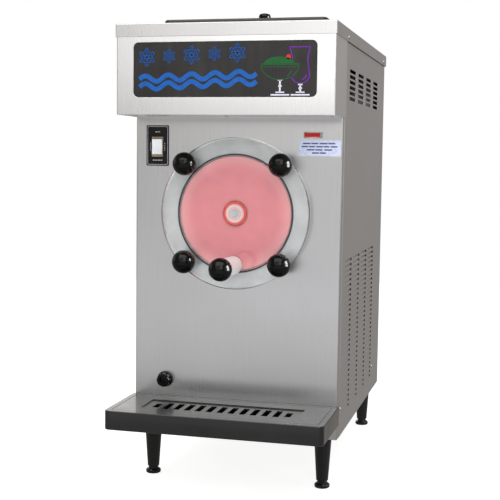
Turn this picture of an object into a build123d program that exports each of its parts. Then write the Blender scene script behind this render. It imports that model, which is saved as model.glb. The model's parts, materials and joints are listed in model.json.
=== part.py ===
"""Single-barrel countertop frozen drink machine.

Millimetres. +X is the machine's right as seen from the front, +Y runs into the machine, +Z is up.
The origin is on the floor, under the middle of the whole machine's bounding box.
Every solid is written to parts/ as its own STEP file, named after the piece.
"""

from build123d import *
import os
from math import hypot

# ---- Driving dimensions -------------------------------------------------------------------------

# Cabinet
FRONT_HALF = 202.9          # half width over the folded front panel
SIDE_OUT = 203.5            # outer face of the side panels
SIDE_SHEET = 1.2
SHEET = 1.2
CABINET_DEPTH = 571.5
FLANGE_DEPTH = 19.0         # how far the front sheets fold back along the sides
REAR_FLANGE = 93.0          # how far the rear sheet folds forward along the sides
LEG_HEIGHT = 100.0
HEADER_BOTTOM = 709.4
CAP_BOTTOM = 851.2
CAP_TOP = 875.2
HEADER_HALF = 205.3
HEADER_OUT = 100.5
CAP_HALF = 206.9
CAP_OVERHANG = 1.6

# Drip tray
TRAY_HALF = 206.35
TRAY_OUT = 160.0
TRAY_BOTTOM = 128.5
TRAY_TOP = 164.6

# Freezing barrel, door and beater, all on one axis
BARREL_Z = 526.5
BARREL_IN = 110.0
BARREL_OUT = 113.0
BARREL_LENGTH = 398.0
DOOR_RADIUS = 145.0
DOOR_BACK = -3.5
DOOR_FRONT = -18.0
STUD_OFFSET = 93.3
SHAFT_REAR = 9.5

# Draw valve
VALVE_Z = 428.5
VALVE_RADIUS = 17.5
PLUNGER_RADIUS = 12.0

# Belt drive
MOTOR_X = 105.0
MOTOR_Z = 300.0
BELT_FRONT = 435.0
BELT_BACK = 447.0
DRIVEN_RADIUS = 66.0
MOTOR_RADIUS = 22.0

# Hopper and lid
HOPPER_HALF = 148.0
HOPPER_FRONT = 54.0
HOPPER_BACK = 362.0
NECK_DEPTH = 80.0
LID_HALF = 162.3
LID_FRONT = 38.0
LID_BACK = 378.0
LID_TOP = 899.6
KNOB_TOP = 930.5

# Legs
LEG_X = 172.4
LEG_FRONT = 23.2
LEG_REAR = 539.1

GLAND_OUT = 12.0            # how far the cable gland stands out of the rear panel
RUNNING = 0.05              # radial clearance of everything that turns or slides on a pin
GAP = 0.3                   # clearance between parts that move past each other

FRONT_Y = -(CABINET_DEPTH + GLAND_OUT - TRAY_OUT) / 2   # y of the lower front panel's face


# ---- Places and repeated shapes -----------------------------------------------------------------


def deep(depth):
    """Y of a place that lies depth behind the lower front panel's face."""
    return FRONT_Y + depth


def facing_front(depth, x=0.0, z=0.0):
    """Plane at a depth, with its normal out of the front, local x right and local y up."""
    return Plane(origin=(x, deep(depth), z), x_dir=(1, 0, 0), z_dir=(0, -1, 0))


def block(low, high, mode=Mode.ADD):
    """Box between two corners given as (x, depth, z)."""
    size = [b - a for a, b in zip(low, high)]
    x, depth, z = [(a + b) / 2 for a, b in zip(low, high)]
    with Locations((x, deep(depth), z)):
        Box(*size, mode=mode)


def ring(front, back, outer, inner=0.0, x=0.0, z=BARREL_Z, mode=Mode.ADD):
    """Round disc or ring about a line along Y, from one depth to another."""
    with BuildSketch(facing_front(back, x, z)) as section:
        Circle(outer)
        if inner > 0:
            Circle(inner, mode=Mode.SUBTRACT)
    extrude(section.sketch, amount=back - front, mode=mode)


def column(low, high, radius, x, depth, mode=Mode.ADD):
    """Upright round bar from one height to another."""
    with BuildSketch(Plane.XY.offset(low)) as section:
        with Locations((x, deep(depth))):
            Circle(radius)
    extrude(section.sketch, amount=high - low, mode=mode)


def turned_along(profile, x, z, mode=Mode.ADD):
    """Solid turned about a line along Y, from (depth, radius) points."""
    plane = Plane(origin=(x, FRONT_Y, z), x_dir=(0, 1, 0), z_dir=(1, 0, 0))
    with BuildSketch(plane) as section:
        with BuildLine():
            Polyline(*profile, close=True)
        make_face()
    revolve(section.sketch, axis=Axis((x, 0, z), (0, 1, 0)), mode=mode)


def turned_up(profile, x, depth, mode=Mode.ADD):
    """Solid turned about an upright line, from (radius, height) points."""
    with BuildSketch(facing_front(depth, x)) as section:
        with BuildLine():
            Polyline(*profile, close=True)
        make_face()
    revolve(section.sketch, axis=Axis((x, deep(depth), 0), (0, 0, 1)), mode=mode)


def folded_outline(half, front, back, radius, rounded=0):
    """Plan of a folded sheet: a rectangle with its front (0) or rear (-1) corners rounded."""
    with BuildSketch() as plan:
        with Locations((0, deep((front + back) / 2))):
            Rectangle(2 * half, back - front)
        fillet(plan.vertices().group_by(Axis.Y)[rounded], radius)
    return plan.sketch


def ball_knob(radius, centre, seat, bore, bore_end, x, z):
    """Ball with a flat seat at its back and a blind bore for its stud."""
    with BuildPart() as knob:
        with Locations((x, deep(centre), z)):
            Sphere(radius)
        ring(seat, centre + 2 * radius, 2 * radius, x=x, z=z, mode=Mode.SUBTRACT)
        ring(bore_end, seat + 1, bore, x=x, z=z, mode=Mode.SUBTRACT)
    return knob.part


def finish(part, name):
    """Label one finished piece and write its STEP file."""
    part.label = name
    export_step(part, f"parts/{name}.step")


os.makedirs("parts", exist_ok=True)


# ---- Screws: their places, used for the holes and for the screws themselves ----------------------

SCREW_HEAD = 3.8
SCREW_HEAD_HEIGHT = 1.3
SCREW_SHANK = 2.0
CAP_SCREW_Z = 858.7
cap_screws = [(side * CAP_HALF, depth, CAP_SCREW_Z, side) for side in (-1, 1) for depth in (28.0, 527.3)]
side_screws = [
    (side * SIDE_OUT, depth, z, side) for side in (-1, 1) for depth, z in ((31.0, 154.0), (460.2, 157.8))
]
header_screws = [(x, -35.0, HEADER_BOTTOM) for x in (-193.0, -11.0, 189.0)]
rear_screws = [(x, CABINET_DEPTH, z) for x in (-180.0, 180.0) for z in (160.0, 800.0)]


def screw(place, outward, length):
    """Pan head on a surface, with its shank going in."""
    x, depth, z = place
    with BuildSketch(Plane(origin=(x, deep(depth), z), z_dir=outward)) as head:
        Circle(SCREW_HEAD)
    extrude(head.sketch, amount=SCREW_HEAD_HEIGHT)
    with BuildSketch(Plane(origin=(x, deep(depth), z), z_dir=outward)) as shank:
        Circle(SCREW_SHANK)
    extrude(shank.sketch, amount=-length)


def screw_hole(place, outward, depth_in):
    """Clearance hole for a screw's shank."""
    x, depth, z = place
    with BuildSketch(Plane(origin=(x, deep(depth), z), z_dir=outward)) as hole:
        Circle(SCREW_SHANK + 0.1)
    extrude(hole.sketch, amount=-depth_in, mode=Mode.SUBTRACT)


# ---- Base pan, frame and legs -------------------------------------------------------------------

PAN_HALF = 201.4
PAN_FRONT = 1.8
PAN_BACK = CABINET_DEPTH - 1.8
PAN_HEIGHT = 22.0
PAN_WALL = 2.0
STUD_RADIUS = 6.0
legs_at = [(x, depth) for x in (-LEG_X, LEG_X) for depth in (LEG_FRONT, LEG_REAR)]

with BuildPart() as base_pan:
    block((-PAN_HALF, PAN_FRONT, LEG_HEIGHT), (PAN_HALF, PAN_BACK, LEG_HEIGHT + PAN_HEIGHT))
    block(
        (-PAN_HALF + PAN_WALL, PAN_FRONT + PAN_WALL, LEG_HEIGHT + PAN_WALL),
        (PAN_HALF - PAN_WALL, PAN_BACK - PAN_WALL, LEG_HEIGHT + PAN_HEIGHT),
        Mode.SUBTRACT,
    )
    for leg_x, leg_depth in legs_at:
        column(LEG_HEIGHT, LEG_HEIGHT + PAN_WALL, STUD_RADIUS + 0.2, leg_x, leg_depth, Mode.SUBTRACT)
finish(base_pan.part, "base_pan")

POST = 20.0
POST_WALL = 2.0
POST_HALF = PAN_HALF - PAN_WALL - 0.4
POST_TOP = 846.0
RAIL_LOW = 828.0
CROSS_LOW = 366.0
CROSS_HIGH = 380.0
CROSS_FRONT = 380.0
CROSS_BACK = 394.0
post_depths = (PAN_FRONT + PAN_WALL + 0.4, PAN_BACK - PAN_WALL - 0.4)

with BuildPart() as frame:
    floor_z = LEG_HEIGHT + PAN_WALL
    for side in (-1, 1):
        for post_y, inward in zip(post_depths, (1, -1)):
            outer_x = side * POST_HALF
            inner_x = side * (POST_HALF - POST)
            thin_x = side * (POST_HALF - POST_WALL)
            far_y = post_y + inward * POST
            thin_y = post_y + inward * POST_WALL
            block(
                (min(outer_x, inner_x), min(post_y, thin_y), floor_z),
                (max(outer_x, inner_x), max(post_y, thin_y), POST_TOP),
            )
            block(
                (min(outer_x, thin_x), min(post_y, far_y), floor_z),
                (max(outer_x, thin_x), max(post_y, far_y), POST_TOP),
            )
        block(
            (min(side * POST_HALF, side * (POST_HALF - POST)), post_depths[0], RAIL_LOW),
            (max(side * POST_HALF, side * (POST_HALF - POST)), post_depths[1], POST_TOP),
        )
        block(
            (min(side * POST_HALF, side * (POST_HALF - POST)), post_depths[0], CROSS_LOW),
            (max(side * POST_HALF, side * (POST_HALF - POST)), post_depths[1], CROSS_HIGH),
        )
    for rail_y in (post_depths[0], post_depths[1] - POST):
        block((-POST_HALF, rail_y, RAIL_LOW), (POST_HALF, rail_y + POST, POST_TOP))
    block((-POST_HALF, CROSS_FRONT, CROSS_LOW), (POST_HALF, CROSS_BACK, CROSS_HIGH))
finish(frame.part, "frame")

LEG_TOP_RADIUS = 17.0
LEG_END_RADIUS = 11.6
LEG_END = 13.6
FOOT_RADIUS = 14.8
FOOT_HEIGHT = 8.0
FOOT_NECK = 9.6
THREAD_RADIUS = 5.0
THREAD_TOP = 44.0
STUD_TOP = 110.0

with BuildPart() as legs:
    for leg_x, leg_depth in legs_at:
        profile = [
            (0, THREAD_TOP + 2),
            (THREAD_RADIUS + RUNNING, THREAD_TOP + 2),
            (THREAD_RADIUS + RUNNING, LEG_END),
            (LEG_END_RADIUS - 0.8, LEG_END),
            (LEG_END_RADIUS, LEG_END + 1.0),
            (LEG_TOP_RADIUS, LEG_HEIGHT - 3.0),
            (LEG_TOP_RADIUS, LEG_HEIGHT),
            (STUD_RADIUS, LEG_HEIGHT),
            (STUD_RADIUS, STUD_TOP),
            (0, STUD_TOP),
        ]
        turned_up(profile, leg_x, leg_depth)
finish(legs.part, "legs")

foot_names = ["front_left", "rear_left", "front_right", "rear_right"]
for foot_name, (leg_x, leg_depth) in zip(foot_names, legs_at):
    with BuildPart() as foot:
        profile = [
            (0, 0),
            (FOOT_RADIUS - 1.5, 0),
            (FOOT_RADIUS, 1.5),
            (FOOT_RADIUS, FOOT_HEIGHT - 2.0),
            (FOOT_RADIUS - 2.0, FOOT_HEIGHT),
            (FOOT_NECK, FOOT_HEIGHT + 1.2),
            (FOOT_NECK, LEG_END - GAP),
            (THREAD_RADIUS, LEG_END - GAP),
            (THREAD_RADIUS, THREAD_TOP),
            (0, THREAD_TOP),
        ]
        turned_up(profile, leg_x, leg_depth)
    finish(foot.part, f"foot_{foot_name}")

# ---- Lower front panel --------------------------------------------------------------------------

PANEL_TOP = 742.0
FOLD_RADIUS = 2.6
SWITCH_X = -158.9
SWITCH_Z = 651.9
PILOT_X = 147.75
PILOT_Z = 676.65
PILOT_WIDTH = 36.3
PILOT_HEIGHT = 12.3
BEZEL_WIDTH = 22.4
BEZEL_HEIGHT = 38.0
ADJUST_X = -140.0
ADJUST_Z = 197.0
ADJUST_SHAFT = 5.0

with BuildPart() as front_panel:
    with BuildSketch(Plane.XY.offset(LEG_HEIGHT)):
        add(folded_outline(FRONT_HALF, 0, FLANGE_DEPTH, FOLD_RADIUS))
        add(
            folded_outline(FRONT_HALF - SHEET, SHEET, FLANGE_DEPTH + 1, FOLD_RADIUS - SHEET),
            mode=Mode.SUBTRACT,
        )
    extrude(amount=PANEL_TOP - LEG_HEIGHT)
    ring(-1, 3, BARREL_OUT + 0.5, mode=Mode.SUBTRACT)
    ring(-1, 3, ADJUST_SHAFT + RUNNING, x=ADJUST_X, z=ADJUST_Z, mode=Mode.SUBTRACT)
    with BuildSketch(facing_front(3, SWITCH_X, SWITCH_Z)) as switch_cut:
        Rectangle(BEZEL_WIDTH + 0.4, BEZEL_HEIGHT + 0.4)
    extrude(switch_cut.sketch, amount=4, mode=Mode.SUBTRACT)
    with BuildSketch(facing_front(3, PILOT_X, PILOT_Z)) as pilot_cut:
        Rectangle(PILOT_WIDTH - 2.0, PILOT_HEIGHT - 2.0)
    extrude(pilot_cut.sketch, amount=4, mode=Mode.SUBTRACT)
finish(front_panel.part, "front_panel")

# ---- Side panels with vents and louvres ---------------------------------------------------------

SIDE_FRONT = FLANGE_DEPTH + 0.4
SIDE_BACK = CABINET_DEPTH - REAR_FLANGE - 0.4
SIDE_TOP = 872.0
COLUMN_MIDDLES = [104.7 + 107.0 * i for i in range(4)]
VENT_LENGTH = 76.0
VENT_HEIGHT = 6.9
VENT_PITCH = 10.45
VENT_ROWS = 6
VENT_TOP = 800.5
LOUVRE_STARTS = [55.0 + 102.0 * i for i in range(4)]
LOUVRE_LENGTH = 79.0
LOUVRE_PITCH = 10.15
LOUVRE_ROWS = 30
LOUVRE_TOP = 431.0
LOUVRE_HEIGHT = 6.6
LOUVRE_DEPTH = 3.7
BLADE_RISE = 5.6
BLADE_WALL = 0.8
BLADE_END_GAP = 0.5

blade_length = hypot(LOUVRE_DEPTH, BLADE_RISE)
inset_x = BLADE_WALL * BLADE_RISE / blade_length
inset_z = BLADE_WALL * LOUVRE_DEPTH / blade_length
louvre_feet = [(SIDE_OUT, LOUVRE_TOP - LOUVRE_PITCH * row) for row in range(LOUVRE_ROWS)]
window = [
    (-SIDE_SHEET - 0.2, 0),
    (-SIDE_SHEET - 0.2, LOUVRE_HEIGHT),
    (0.2, LOUVRE_HEIGHT),
    (0.2, 0),
]
blade = [
    (0, 0),
    (-LOUVRE_DEPTH, BLADE_RISE),
    (-LOUVRE_DEPTH - inset_x, BLADE_RISE - inset_z),
    (-inset_x, -inset_z),
]


def louvre_column(profile, end, length, mode):
    """The same section in every row of one column, drawn out along the panel."""
    with BuildSketch(facing_front(end)) as section:
        with Locations(*louvre_feet):
            Polygon(*profile, align=None)
    extrude(section.sketch, amount=length, mode=mode)


with BuildPart() as right_side_panel:
    block((SIDE_OUT - SIDE_SHEET, SIDE_FRONT, LEG_HEIGHT), (SIDE_OUT, SIDE_BACK, SIDE_TOP))
    for start in LOUVRE_STARTS:
        end = start + LOUVRE_LENGTH
        louvre_column(window, end, LOUVRE_LENGTH, Mode.SUBTRACT)
        louvre_column(blade, end - BLADE_END_GAP, LOUVRE_LENGTH - 2 * BLADE_END_GAP, Mode.ADD)
    for middle in COLUMN_MIDDLES:
        for row in range(VENT_ROWS):
            top = VENT_TOP - VENT_PITCH * row
            with Locations((SIDE_OUT, deep(middle), top)):
                Box(4, VENT_LENGTH, VENT_HEIGHT, mode=Mode.SUBTRACT)
    for x, depth, z, side in cap_screws + side_screws:
        if side > 0 and depth < SIDE_BACK:
            screw_hole((SIDE_OUT, depth, z), (1, 0, 0), 3)
finish(right_side_panel.part, "right_side_panel")

with BuildPart() as left_side_panel:
    mirror(right_side_panel.part, about=Plane.YZ)
finish(left_side_panel.part, "left_side_panel")

# ---- Rear panel and cable gland -----------------------------------------------------------------

REAR_SLOT_WIDTH = 70.0
REAR_SLOT_HEIGHT = 5.0
REAR_SLOT_COLUMNS = 4
REAR_SLOT_ROWS = 16
REAR_SLOT_PITCH = 12.0
REAR_SLOTS_Z = 330.0
GLAND_X = -120.0
GLAND_Z = 160.0
GLAND_STEM = 9.9
GLAND_BORE = 5.0

with BuildPart() as rear_panel:
    with BuildSketch(Plane.XY.offset(LEG_HEIGHT)):
        add(folded_outline(SIDE_OUT, CABINET_DEPTH - REAR_FLANGE, CABINET_DEPTH, 3.0, -1))
        add(
            folded_outline(
                SIDE_OUT - SHEET, CABINET_DEPTH - REAR_FLANGE - 1, CABINET_DEPTH - SHEET, 1.8, -1
            ),
            mode=Mode.SUBTRACT,
        )
    extrude(amount=SIDE_TOP - LEG_HEIGHT)
    with Locations((0, deep(CABINET_DEPTH), REAR_SLOTS_Z)):
        with GridLocations(REAR_SLOT_WIDTH + 18, 0, REAR_SLOT_COLUMNS, 1):
            for row in range(REAR_SLOT_ROWS):
                with Locations((0, 0, (row - (REAR_SLOT_ROWS - 1) / 2) * REAR_SLOT_PITCH)):
                    Box(REAR_SLOT_WIDTH, 4, REAR_SLOT_HEIGHT, mode=Mode.SUBTRACT)
    ring(CABINET_DEPTH - 3, CABINET_DEPTH + 1, GLAND_STEM + 0.2, x=GLAND_X, z=GLAND_Z, mode=Mode.SUBTRACT)
    for place in rear_screws:
        screw_hole(place, (0, 1, 0), 3)
    for x, depth, z, side in cap_screws:
        if depth > SIDE_BACK:
            screw_hole((side * SIDE_OUT, depth, z), (side, 0, 0), 3)
finish(rear_panel.part, "rear_panel")

with BuildPart() as cable_gland:
    with BuildSketch(facing_front(CABINET_DEPTH + 7, GLAND_X, GLAND_Z)) as nut:
        RegularPolygon(14, 6)
    extrude(nut.sketch, amount=7)
    ring(CABINET_DEPTH + 7, CABINET_DEPTH + GLAND_OUT, 11, x=GLAND_X, z=GLAND_Z)
    ring(CABINET_DEPTH - 14, CABINET_DEPTH, GLAND_STEM, x=GLAND_X, z=GLAND_Z)
    ring(CABINET_DEPTH - 15, CABINET_DEPTH + 20, GLAND_BORE, x=GLAND_X, z=GLAND_Z, mode=Mode.SUBTRACT)
finish(cable_gland.part, "cable_gland")

# ---- Header, sign, cap --------------------------------------------------------------------------

SIGN_WIDTH = 344.0
SIGN_HEIGHT = 100.0
SIGN_RADIUS = 10.0
SIGN_Z = 791.0
HEADER_TOP = 870.0

with BuildPart() as header_shroud:
    with BuildSketch(Plane.XY.offset(HEADER_BOTTOM)):
        add(folded_outline(HEADER_HALF, -HEADER_OUT, FLANGE_DEPTH, FOLD_RADIUS))
        add(
            folded_outline(
                HEADER_HALF - SHEET, -HEADER_OUT + SHEET, FLANGE_DEPTH + 1, FOLD_RADIUS - SHEET
            ),
            mode=Mode.SUBTRACT,
        )
    extrude(amount=HEADER_TOP - HEADER_BOTTOM)
    block(
        (-HEADER_HALF + SHEET, -HEADER_OUT + SHEET, HEADER_BOTTOM),
        (HEADER_HALF - SHEET, -0.4, HEADER_BOTTOM + SHEET),
    )
    with BuildSketch(facing_front(-HEADER_OUT + 3, 0, SIGN_Z)) as window:
        RectangleRounded(SIGN_WIDTH, SIGN_HEIGHT, SIGN_RADIUS)
    extrude(window.sketch, amount=4, mode=Mode.SUBTRACT)
    for place in header_screws:
        screw_hole(place, (0, 0, -1), 3)
    for x, depth, z, side in cap_screws:
        if depth < FLANGE_DEPTH:
            screw_hole((side * HEADER_HALF, depth, z), (side, 0, 0), 3)
finish(header_shroud.part, "header_shroud")

with BuildPart() as sign_panel:
    with BuildSketch(facing_front(-HEADER_OUT + SHEET + 3.2, 0, SIGN_Z)) as flange:
        RectangleRounded(SIGN_WIDTH + 22, SIGN_HEIGHT + 22, SIGN_RADIUS)
    extrude(flange.sketch, amount=3.0)
    with BuildSketch(facing_front(-HEADER_OUT + SHEET + 1.0, 0, SIGN_Z)) as plateau:
        RectangleRounded(SIGN_WIDTH - 0.6, SIGN_HEIGHT - 0.6, SIGN_RADIUS - 0.3)
    extrude(plateau.sketch, amount=1.9)
finish(sign_panel.part, "sign_panel")

LAMP_DEPTH = -48.0
LAMP_RADIUS = 13.0
LAMP_HALF = 150.0

with BuildPart() as sign_lamp:
    with BuildSketch(Plane(origin=(-LAMP_HALF, deep(LAMP_DEPTH), SIGN_Z), z_dir=(1, 0, 0))) as tube:
        Circle(LAMP_RADIUS)
    extrude(tube.sketch, amount=2 * LAMP_HALF)
    for side in (-1, 1):
        block(
            (side * LAMP_HALF - 8, LAMP_DEPTH - 18, HEADER_BOTTOM + SHEET),
            (side * LAMP_HALF + 8, LAMP_DEPTH + 18, SIGN_Z + 18),
        )
finish(sign_lamp.part, "sign_lamp")

CAP_FRONT = -HEADER_OUT - CAP_OVERHANG
CAP_BACK = CABINET_DEPTH + CAP_OVERHANG

with BuildPart() as top_cap:
    block((-CAP_HALF, CAP_FRONT, CAP_BOTTOM), (CAP_HALF, CAP_BACK, CAP_TOP))
    fillet(top_cap.edges().filter_by(Axis.Z), 1.8)
    fillet(top_cap.faces().sort_by(Axis.Z)[-1].edges(), 1.4)
    block(
        (-CAP_HALF + SHEET, CAP_FRONT + SHEET, CAP_BOTTOM),
        (CAP_HALF - SHEET, CAP_BACK - SHEET, CAP_TOP - SHEET),
        Mode.SUBTRACT,
    )
    block(
        (-HOPPER_HALF - 1.5, HOPPER_FRONT - 1.5, CAP_BOTTOM),
        (HOPPER_HALF + 1.5, HOPPER_BACK + 1.5, CAP_TOP + 1),
        Mode.SUBTRACT,
    )
    for x, depth, z, side in cap_screws:
        screw_hole((x, depth, z), (side, 0, 0), 3)
finish(top_cap.part, "top_cap")

# ---- Hopper, lid and its knob -------------------------------------------------------------------

HOPPER_BOTTOM = 688.0
HOPPER_WALL = 1.5
HOPPER_CORNER = 8.0
RIM_LOW = CAP_TOP + GAP
RIM_TOP = 878.0
RIM_WIDTH = 10.0
NECK_OUT = 17.0
NECK_IN = 14.0
hopper_length = HOPPER_BACK - HOPPER_FRONT
hopper_middle = (HOPPER_FRONT + HOPPER_BACK) / 2

with BuildPart() as hopper:
    with BuildSketch(Plane.XY.offset(HOPPER_BOTTOM)) as tank:
        with Locations((0, deep(hopper_middle))):
            RectangleRounded(2 * HOPPER_HALF, hopper_length, HOPPER_CORNER)
    extrude(tank.sketch, amount=RIM_TOP - HOPPER_BOTTOM)
    with BuildSketch(Plane.XY.offset(RIM_LOW)) as rim:
        with Locations((0, deep(hopper_middle))):
            RectangleRounded(
                2 * (HOPPER_HALF + RIM_WIDTH), hopper_length + 2 * RIM_WIDTH, HOPPER_CORNER + RIM_WIDTH
            )
    extrude(rim.sketch, amount=RIM_TOP - RIM_LOW)
    with BuildSketch(Plane.XY.offset(HOPPER_BOTTOM + HOPPER_WALL)) as inside:
        with Locations((0, deep(hopper_middle))):
            RectangleRounded(
                2 * (HOPPER_HALF - HOPPER_WALL),
                hopper_length - 2 * HOPPER_WALL,
                HOPPER_CORNER - HOPPER_WALL,
            )
    extrude(inside.sketch, amount=RIM_TOP - HOPPER_BOTTOM, mode=Mode.SUBTRACT)
    column(HOPPER_BOTTOM - 1, HOPPER_BOTTOM + 3, NECK_OUT, 0, NECK_DEPTH, Mode.SUBTRACT)
finish(hopper.part, "hopper")

with BuildPart() as feed_neck:
    neck_bottom = BARREL_Z + BARREL_IN + 0.7
    column(neck_bottom, HOPPER_BOTTOM + HOPPER_WALL, NECK_OUT, 0, NECK_DEPTH)
    column(neck_bottom - 1, HOPPER_BOTTOM + 3, NECK_IN, 0, NECK_DEPTH, Mode.SUBTRACT)
finish(feed_neck.part, "feed_neck")

LID_LOW = CAP_TOP + 0.8
LID_WALL = 3.0
LID_LEDGE = RIM_TOP + GAP
LID_EDGE = 4.0
lid_middle = (LID_FRONT + LID_BACK) / 2
lid_length = LID_BACK - LID_FRONT

with BuildPart() as hopper_lid:
    with BuildSketch(Plane.XY.offset(LID_LOW)):
        with Locations((0, deep(lid_middle))):
            RectangleRounded(2 * LID_HALF, lid_length, 12)
    extrude(amount=LID_TOP - LID_LOW)
    fillet(hopper_lid.faces().sort_by(Axis.Z)[-1].edges(), LID_EDGE)
    block(
        (-LID_HALF + LID_WALL, LID_FRONT + LID_WALL, LID_LOW - 1),
        (LID_HALF - LID_WALL, LID_BACK - LID_WALL, LID_LEDGE),
        Mode.SUBTRACT,
    )
    block(
        (-HOPPER_HALF + 4, HOPPER_FRONT + 4, LID_LOW - 1),
        (HOPPER_HALF - 4, HOPPER_BACK - 4, LID_TOP - LID_WALL),
        Mode.SUBTRACT,
    )
    column(LID_TOP - 6, LID_TOP + 1, 3.2, 0, lid_middle, Mode.SUBTRACT)
finish(hopper_lid.part, "hopper_lid")

with BuildPart() as lid_knob:
    profile = [
        (0, LID_TOP - 5),
        (3.0, LID_TOP - 5),
        (3.0, LID_TOP),
        (9.0, LID_TOP),
        (6.5, LID_TOP + 4),
        (6.5, LID_TOP + 12),
        (12.0, LID_TOP + 19),
        (12.5, LID_TOP + 25),
        (10.5, KNOB_TOP - 1.5),
        (6.0, KNOB_TOP),
        (0, KNOB_TOP),
    ]
    turned_up(profile, 0, lid_middle)
finish(lid_knob.part, "lid_knob")

# ---- Barrel, insulation, coil, frozen drink ------------------------------------------------------

FLANGE_RADIUS = 142.0
FLANGE_FRONT = -3.0
INSULATION_IN = 124.5
INSULATION_OUT = 142.0
BEARING_SPIGOT = 19.8

with BuildPart() as barrel:
    ring(FLANGE_FRONT, BARREL_LENGTH, BARREL_OUT, BARREL_IN)
    ring(FLANGE_FRONT, -GAP, FLANGE_RADIUS, BARREL_IN)
    ring(BARREL_LENGTH - 3, BARREL_LENGTH, BARREL_OUT, BEARING_SPIGOT + 0.2)
    column(BARREL_Z + 90, BARREL_Z + 130, NECK_OUT + 0.3, 0, NECK_DEPTH, Mode.SUBTRACT)
finish(barrel.part, "barrel")

with BuildPart() as barrel_insulation:
    ring(24, BARREL_LENGTH - 4, INSULATION_OUT, INSULATION_IN)
    column(BARREL_Z + 90, BARREL_Z + 160, NECK_OUT + 1, 0, NECK_DEPTH, Mode.SUBTRACT)
finish(barrel_insulation.part, "barrel_insulation")

with BuildPart() as frozen_drink:
    ring(-2.4, 8.0, BARREL_IN - GAP, 24.0)
finish(frozen_drink.part, "frozen_drink")

STUD_THREAD = 4.95
STUD_END = -46.0
stud_places = [(x, BARREL_Z + z) for x in (-STUD_OFFSET, STUD_OFFSET) for z in (-STUD_OFFSET, STUD_OFFSET)]

with BuildPart() as door_studs:
    for stud_x, stud_z in stud_places:
        ring(STUD_END, FLANGE_FRONT, STUD_THREAD, x=stud_x, z=stud_z)
    chamfer(door_studs.faces().sort_by(Axis.Y)[0:4].edges(), 1.0)
finish(door_studs.part, "door_studs")

# ---- Door, seal, front bearing, valve body -------------------------------------------------------

SEAL_OUT = 113.8
SEAL_IN = 110.8
POCKET_RADIUS = 22.8
POCKET_FRONT = -8.0
BEARING_RADIUS = 18.6
SHAFT_TIP = 8.5
SPOUT_RADIUS = 4.2
SPOUT_DEPTH = -12.3
VALVE_END = -87.0
VALVE_SEAT = -7.3           # where the valve body stops and only the plunger goes on

with BuildPart() as door:
    ring(DOOR_FRONT, DOOR_BACK, DOOR_RADIUS)
    chamfer(door.edges().filter_by(GeomType.CIRCLE), 0.8)
    for stud_x, stud_z in stud_places:
        ring(DOOR_FRONT - 1, DOOR_BACK + 1, STUD_THREAD + 0.3, x=stud_x, z=stud_z, mode=Mode.SUBTRACT)
    ring(DOOR_FRONT - 1, VALVE_SEAT, VALVE_RADIUS, z=VALVE_Z, mode=Mode.SUBTRACT)
    ring(DOOR_FRONT, DOOR_BACK + 1, PLUNGER_RADIUS + RUNNING, z=VALVE_Z, mode=Mode.SUBTRACT)
    ring(POCKET_FRONT, DOOR_BACK + 1, POCKET_RADIUS, mode=Mode.SUBTRACT)
    ring(DOOR_BACK - 3, DOOR_BACK + 1, SEAL_OUT + 0.1, SEAL_IN - 0.1, mode=Mode.SUBTRACT)
    column(BARREL_Z - DOOR_RADIUS - 1, VALVE_Z, SPOUT_RADIUS, 0, SPOUT_DEPTH, Mode.SUBTRACT)
finish(door.part, "door")

with BuildPart() as door_seal:
    ring(DOOR_BACK - 3, DOOR_BACK + 0.2, SEAL_OUT, SEAL_IN)
finish(door_seal.part, "door_seal")

with BuildPart() as front_bearing:
    profile = [
        (POCKET_FRONT, SHAFT_TIP + RUNNING),
        (POCKET_FRONT, POCKET_RADIUS - 0.1),
        (POCKET_FRONT + 4.5, POCKET_RADIUS - 0.1),
        (POCKET_FRONT + 4.5, BEARING_RADIUS),
        (12.0, BEARING_RADIUS - 1.5),
        (12.0, SHAFT_TIP + RUNNING),
    ]
    turned_along(profile, 0, BARREL_Z)
finish(front_bearing.part, "front_bearing")

with BuildPart() as valve_body:
    ring(VALVE_END, VALVE_SEAT, VALVE_RADIUS, PLUNGER_RADIUS + RUNNING, z=VALVE_Z)
    column(BARREL_Z - DOOR_RADIUS, VALVE_Z, SPOUT_RADIUS, 0, SPOUT_DEPTH, Mode.SUBTRACT)
finish(valve_body.part, "valve_body")

BALL_RADIUS = 22.225
BALL_CENTRE = -36.0
knob_seat = DOOR_FRONT - GAP

knob_names = ["lower_left", "upper_left", "lower_right", "upper_right"]
for knob_name, (stud_x, stud_z) in zip(knob_names, stud_places):
    knob = ball_knob(BALL_RADIUS, BALL_CENTRE, knob_seat, STUD_THREAD + RUNNING, STUD_END - 2, stud_x, stud_z)
    finish(knob, f"door_knob_{knob_name}")

STEM_RADIUS = 6.0
STEM_END = -100.0
PLUNGER_FRONT = -34.0
PLUNGER_BALL = 21.8
PLUNGER_BALL_CENTRE = -106.5

with BuildPart() as valve_plunger:
    ring(PLUNGER_FRONT, DOOR_BACK - GAP, PLUNGER_RADIUS, z=VALVE_Z)
    for groove in (DOOR_BACK - 3.5, PLUNGER_FRONT + 2.5):
        ring(groove, groove + 2.2, PLUNGER_RADIUS + 1, PLUNGER_RADIUS - 1.5, z=VALVE_Z, mode=Mode.SUBTRACT)
    ring(STEM_END, PLUNGER_FRONT, STEM_RADIUS, z=VALVE_Z)
finish(valve_plunger.part, "valve_plunger")

plunger_knob = ball_knob(
    PLUNGER_BALL, PLUNGER_BALL_CENTRE, VALVE_END - GAP, STEM_RADIUS, STEM_END, 0, VALVE_Z
)
finish(plunger_knob, "plunger_knob")

# ---- Beater and its drive -----------------------------------------------------------------------

BAR_RADIUS = 6.0
BAR_PITCH = 95.0
SPIDER_DEPTHS = (20.0, 198.0, 372.0)
SPIDER_THICKNESS = 6.0
BLADE_OUT = 108.4
BLADE_IN = 101.2
SHAFT_END = 462.0
SHAFT_MAIN = 12.0

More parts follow.
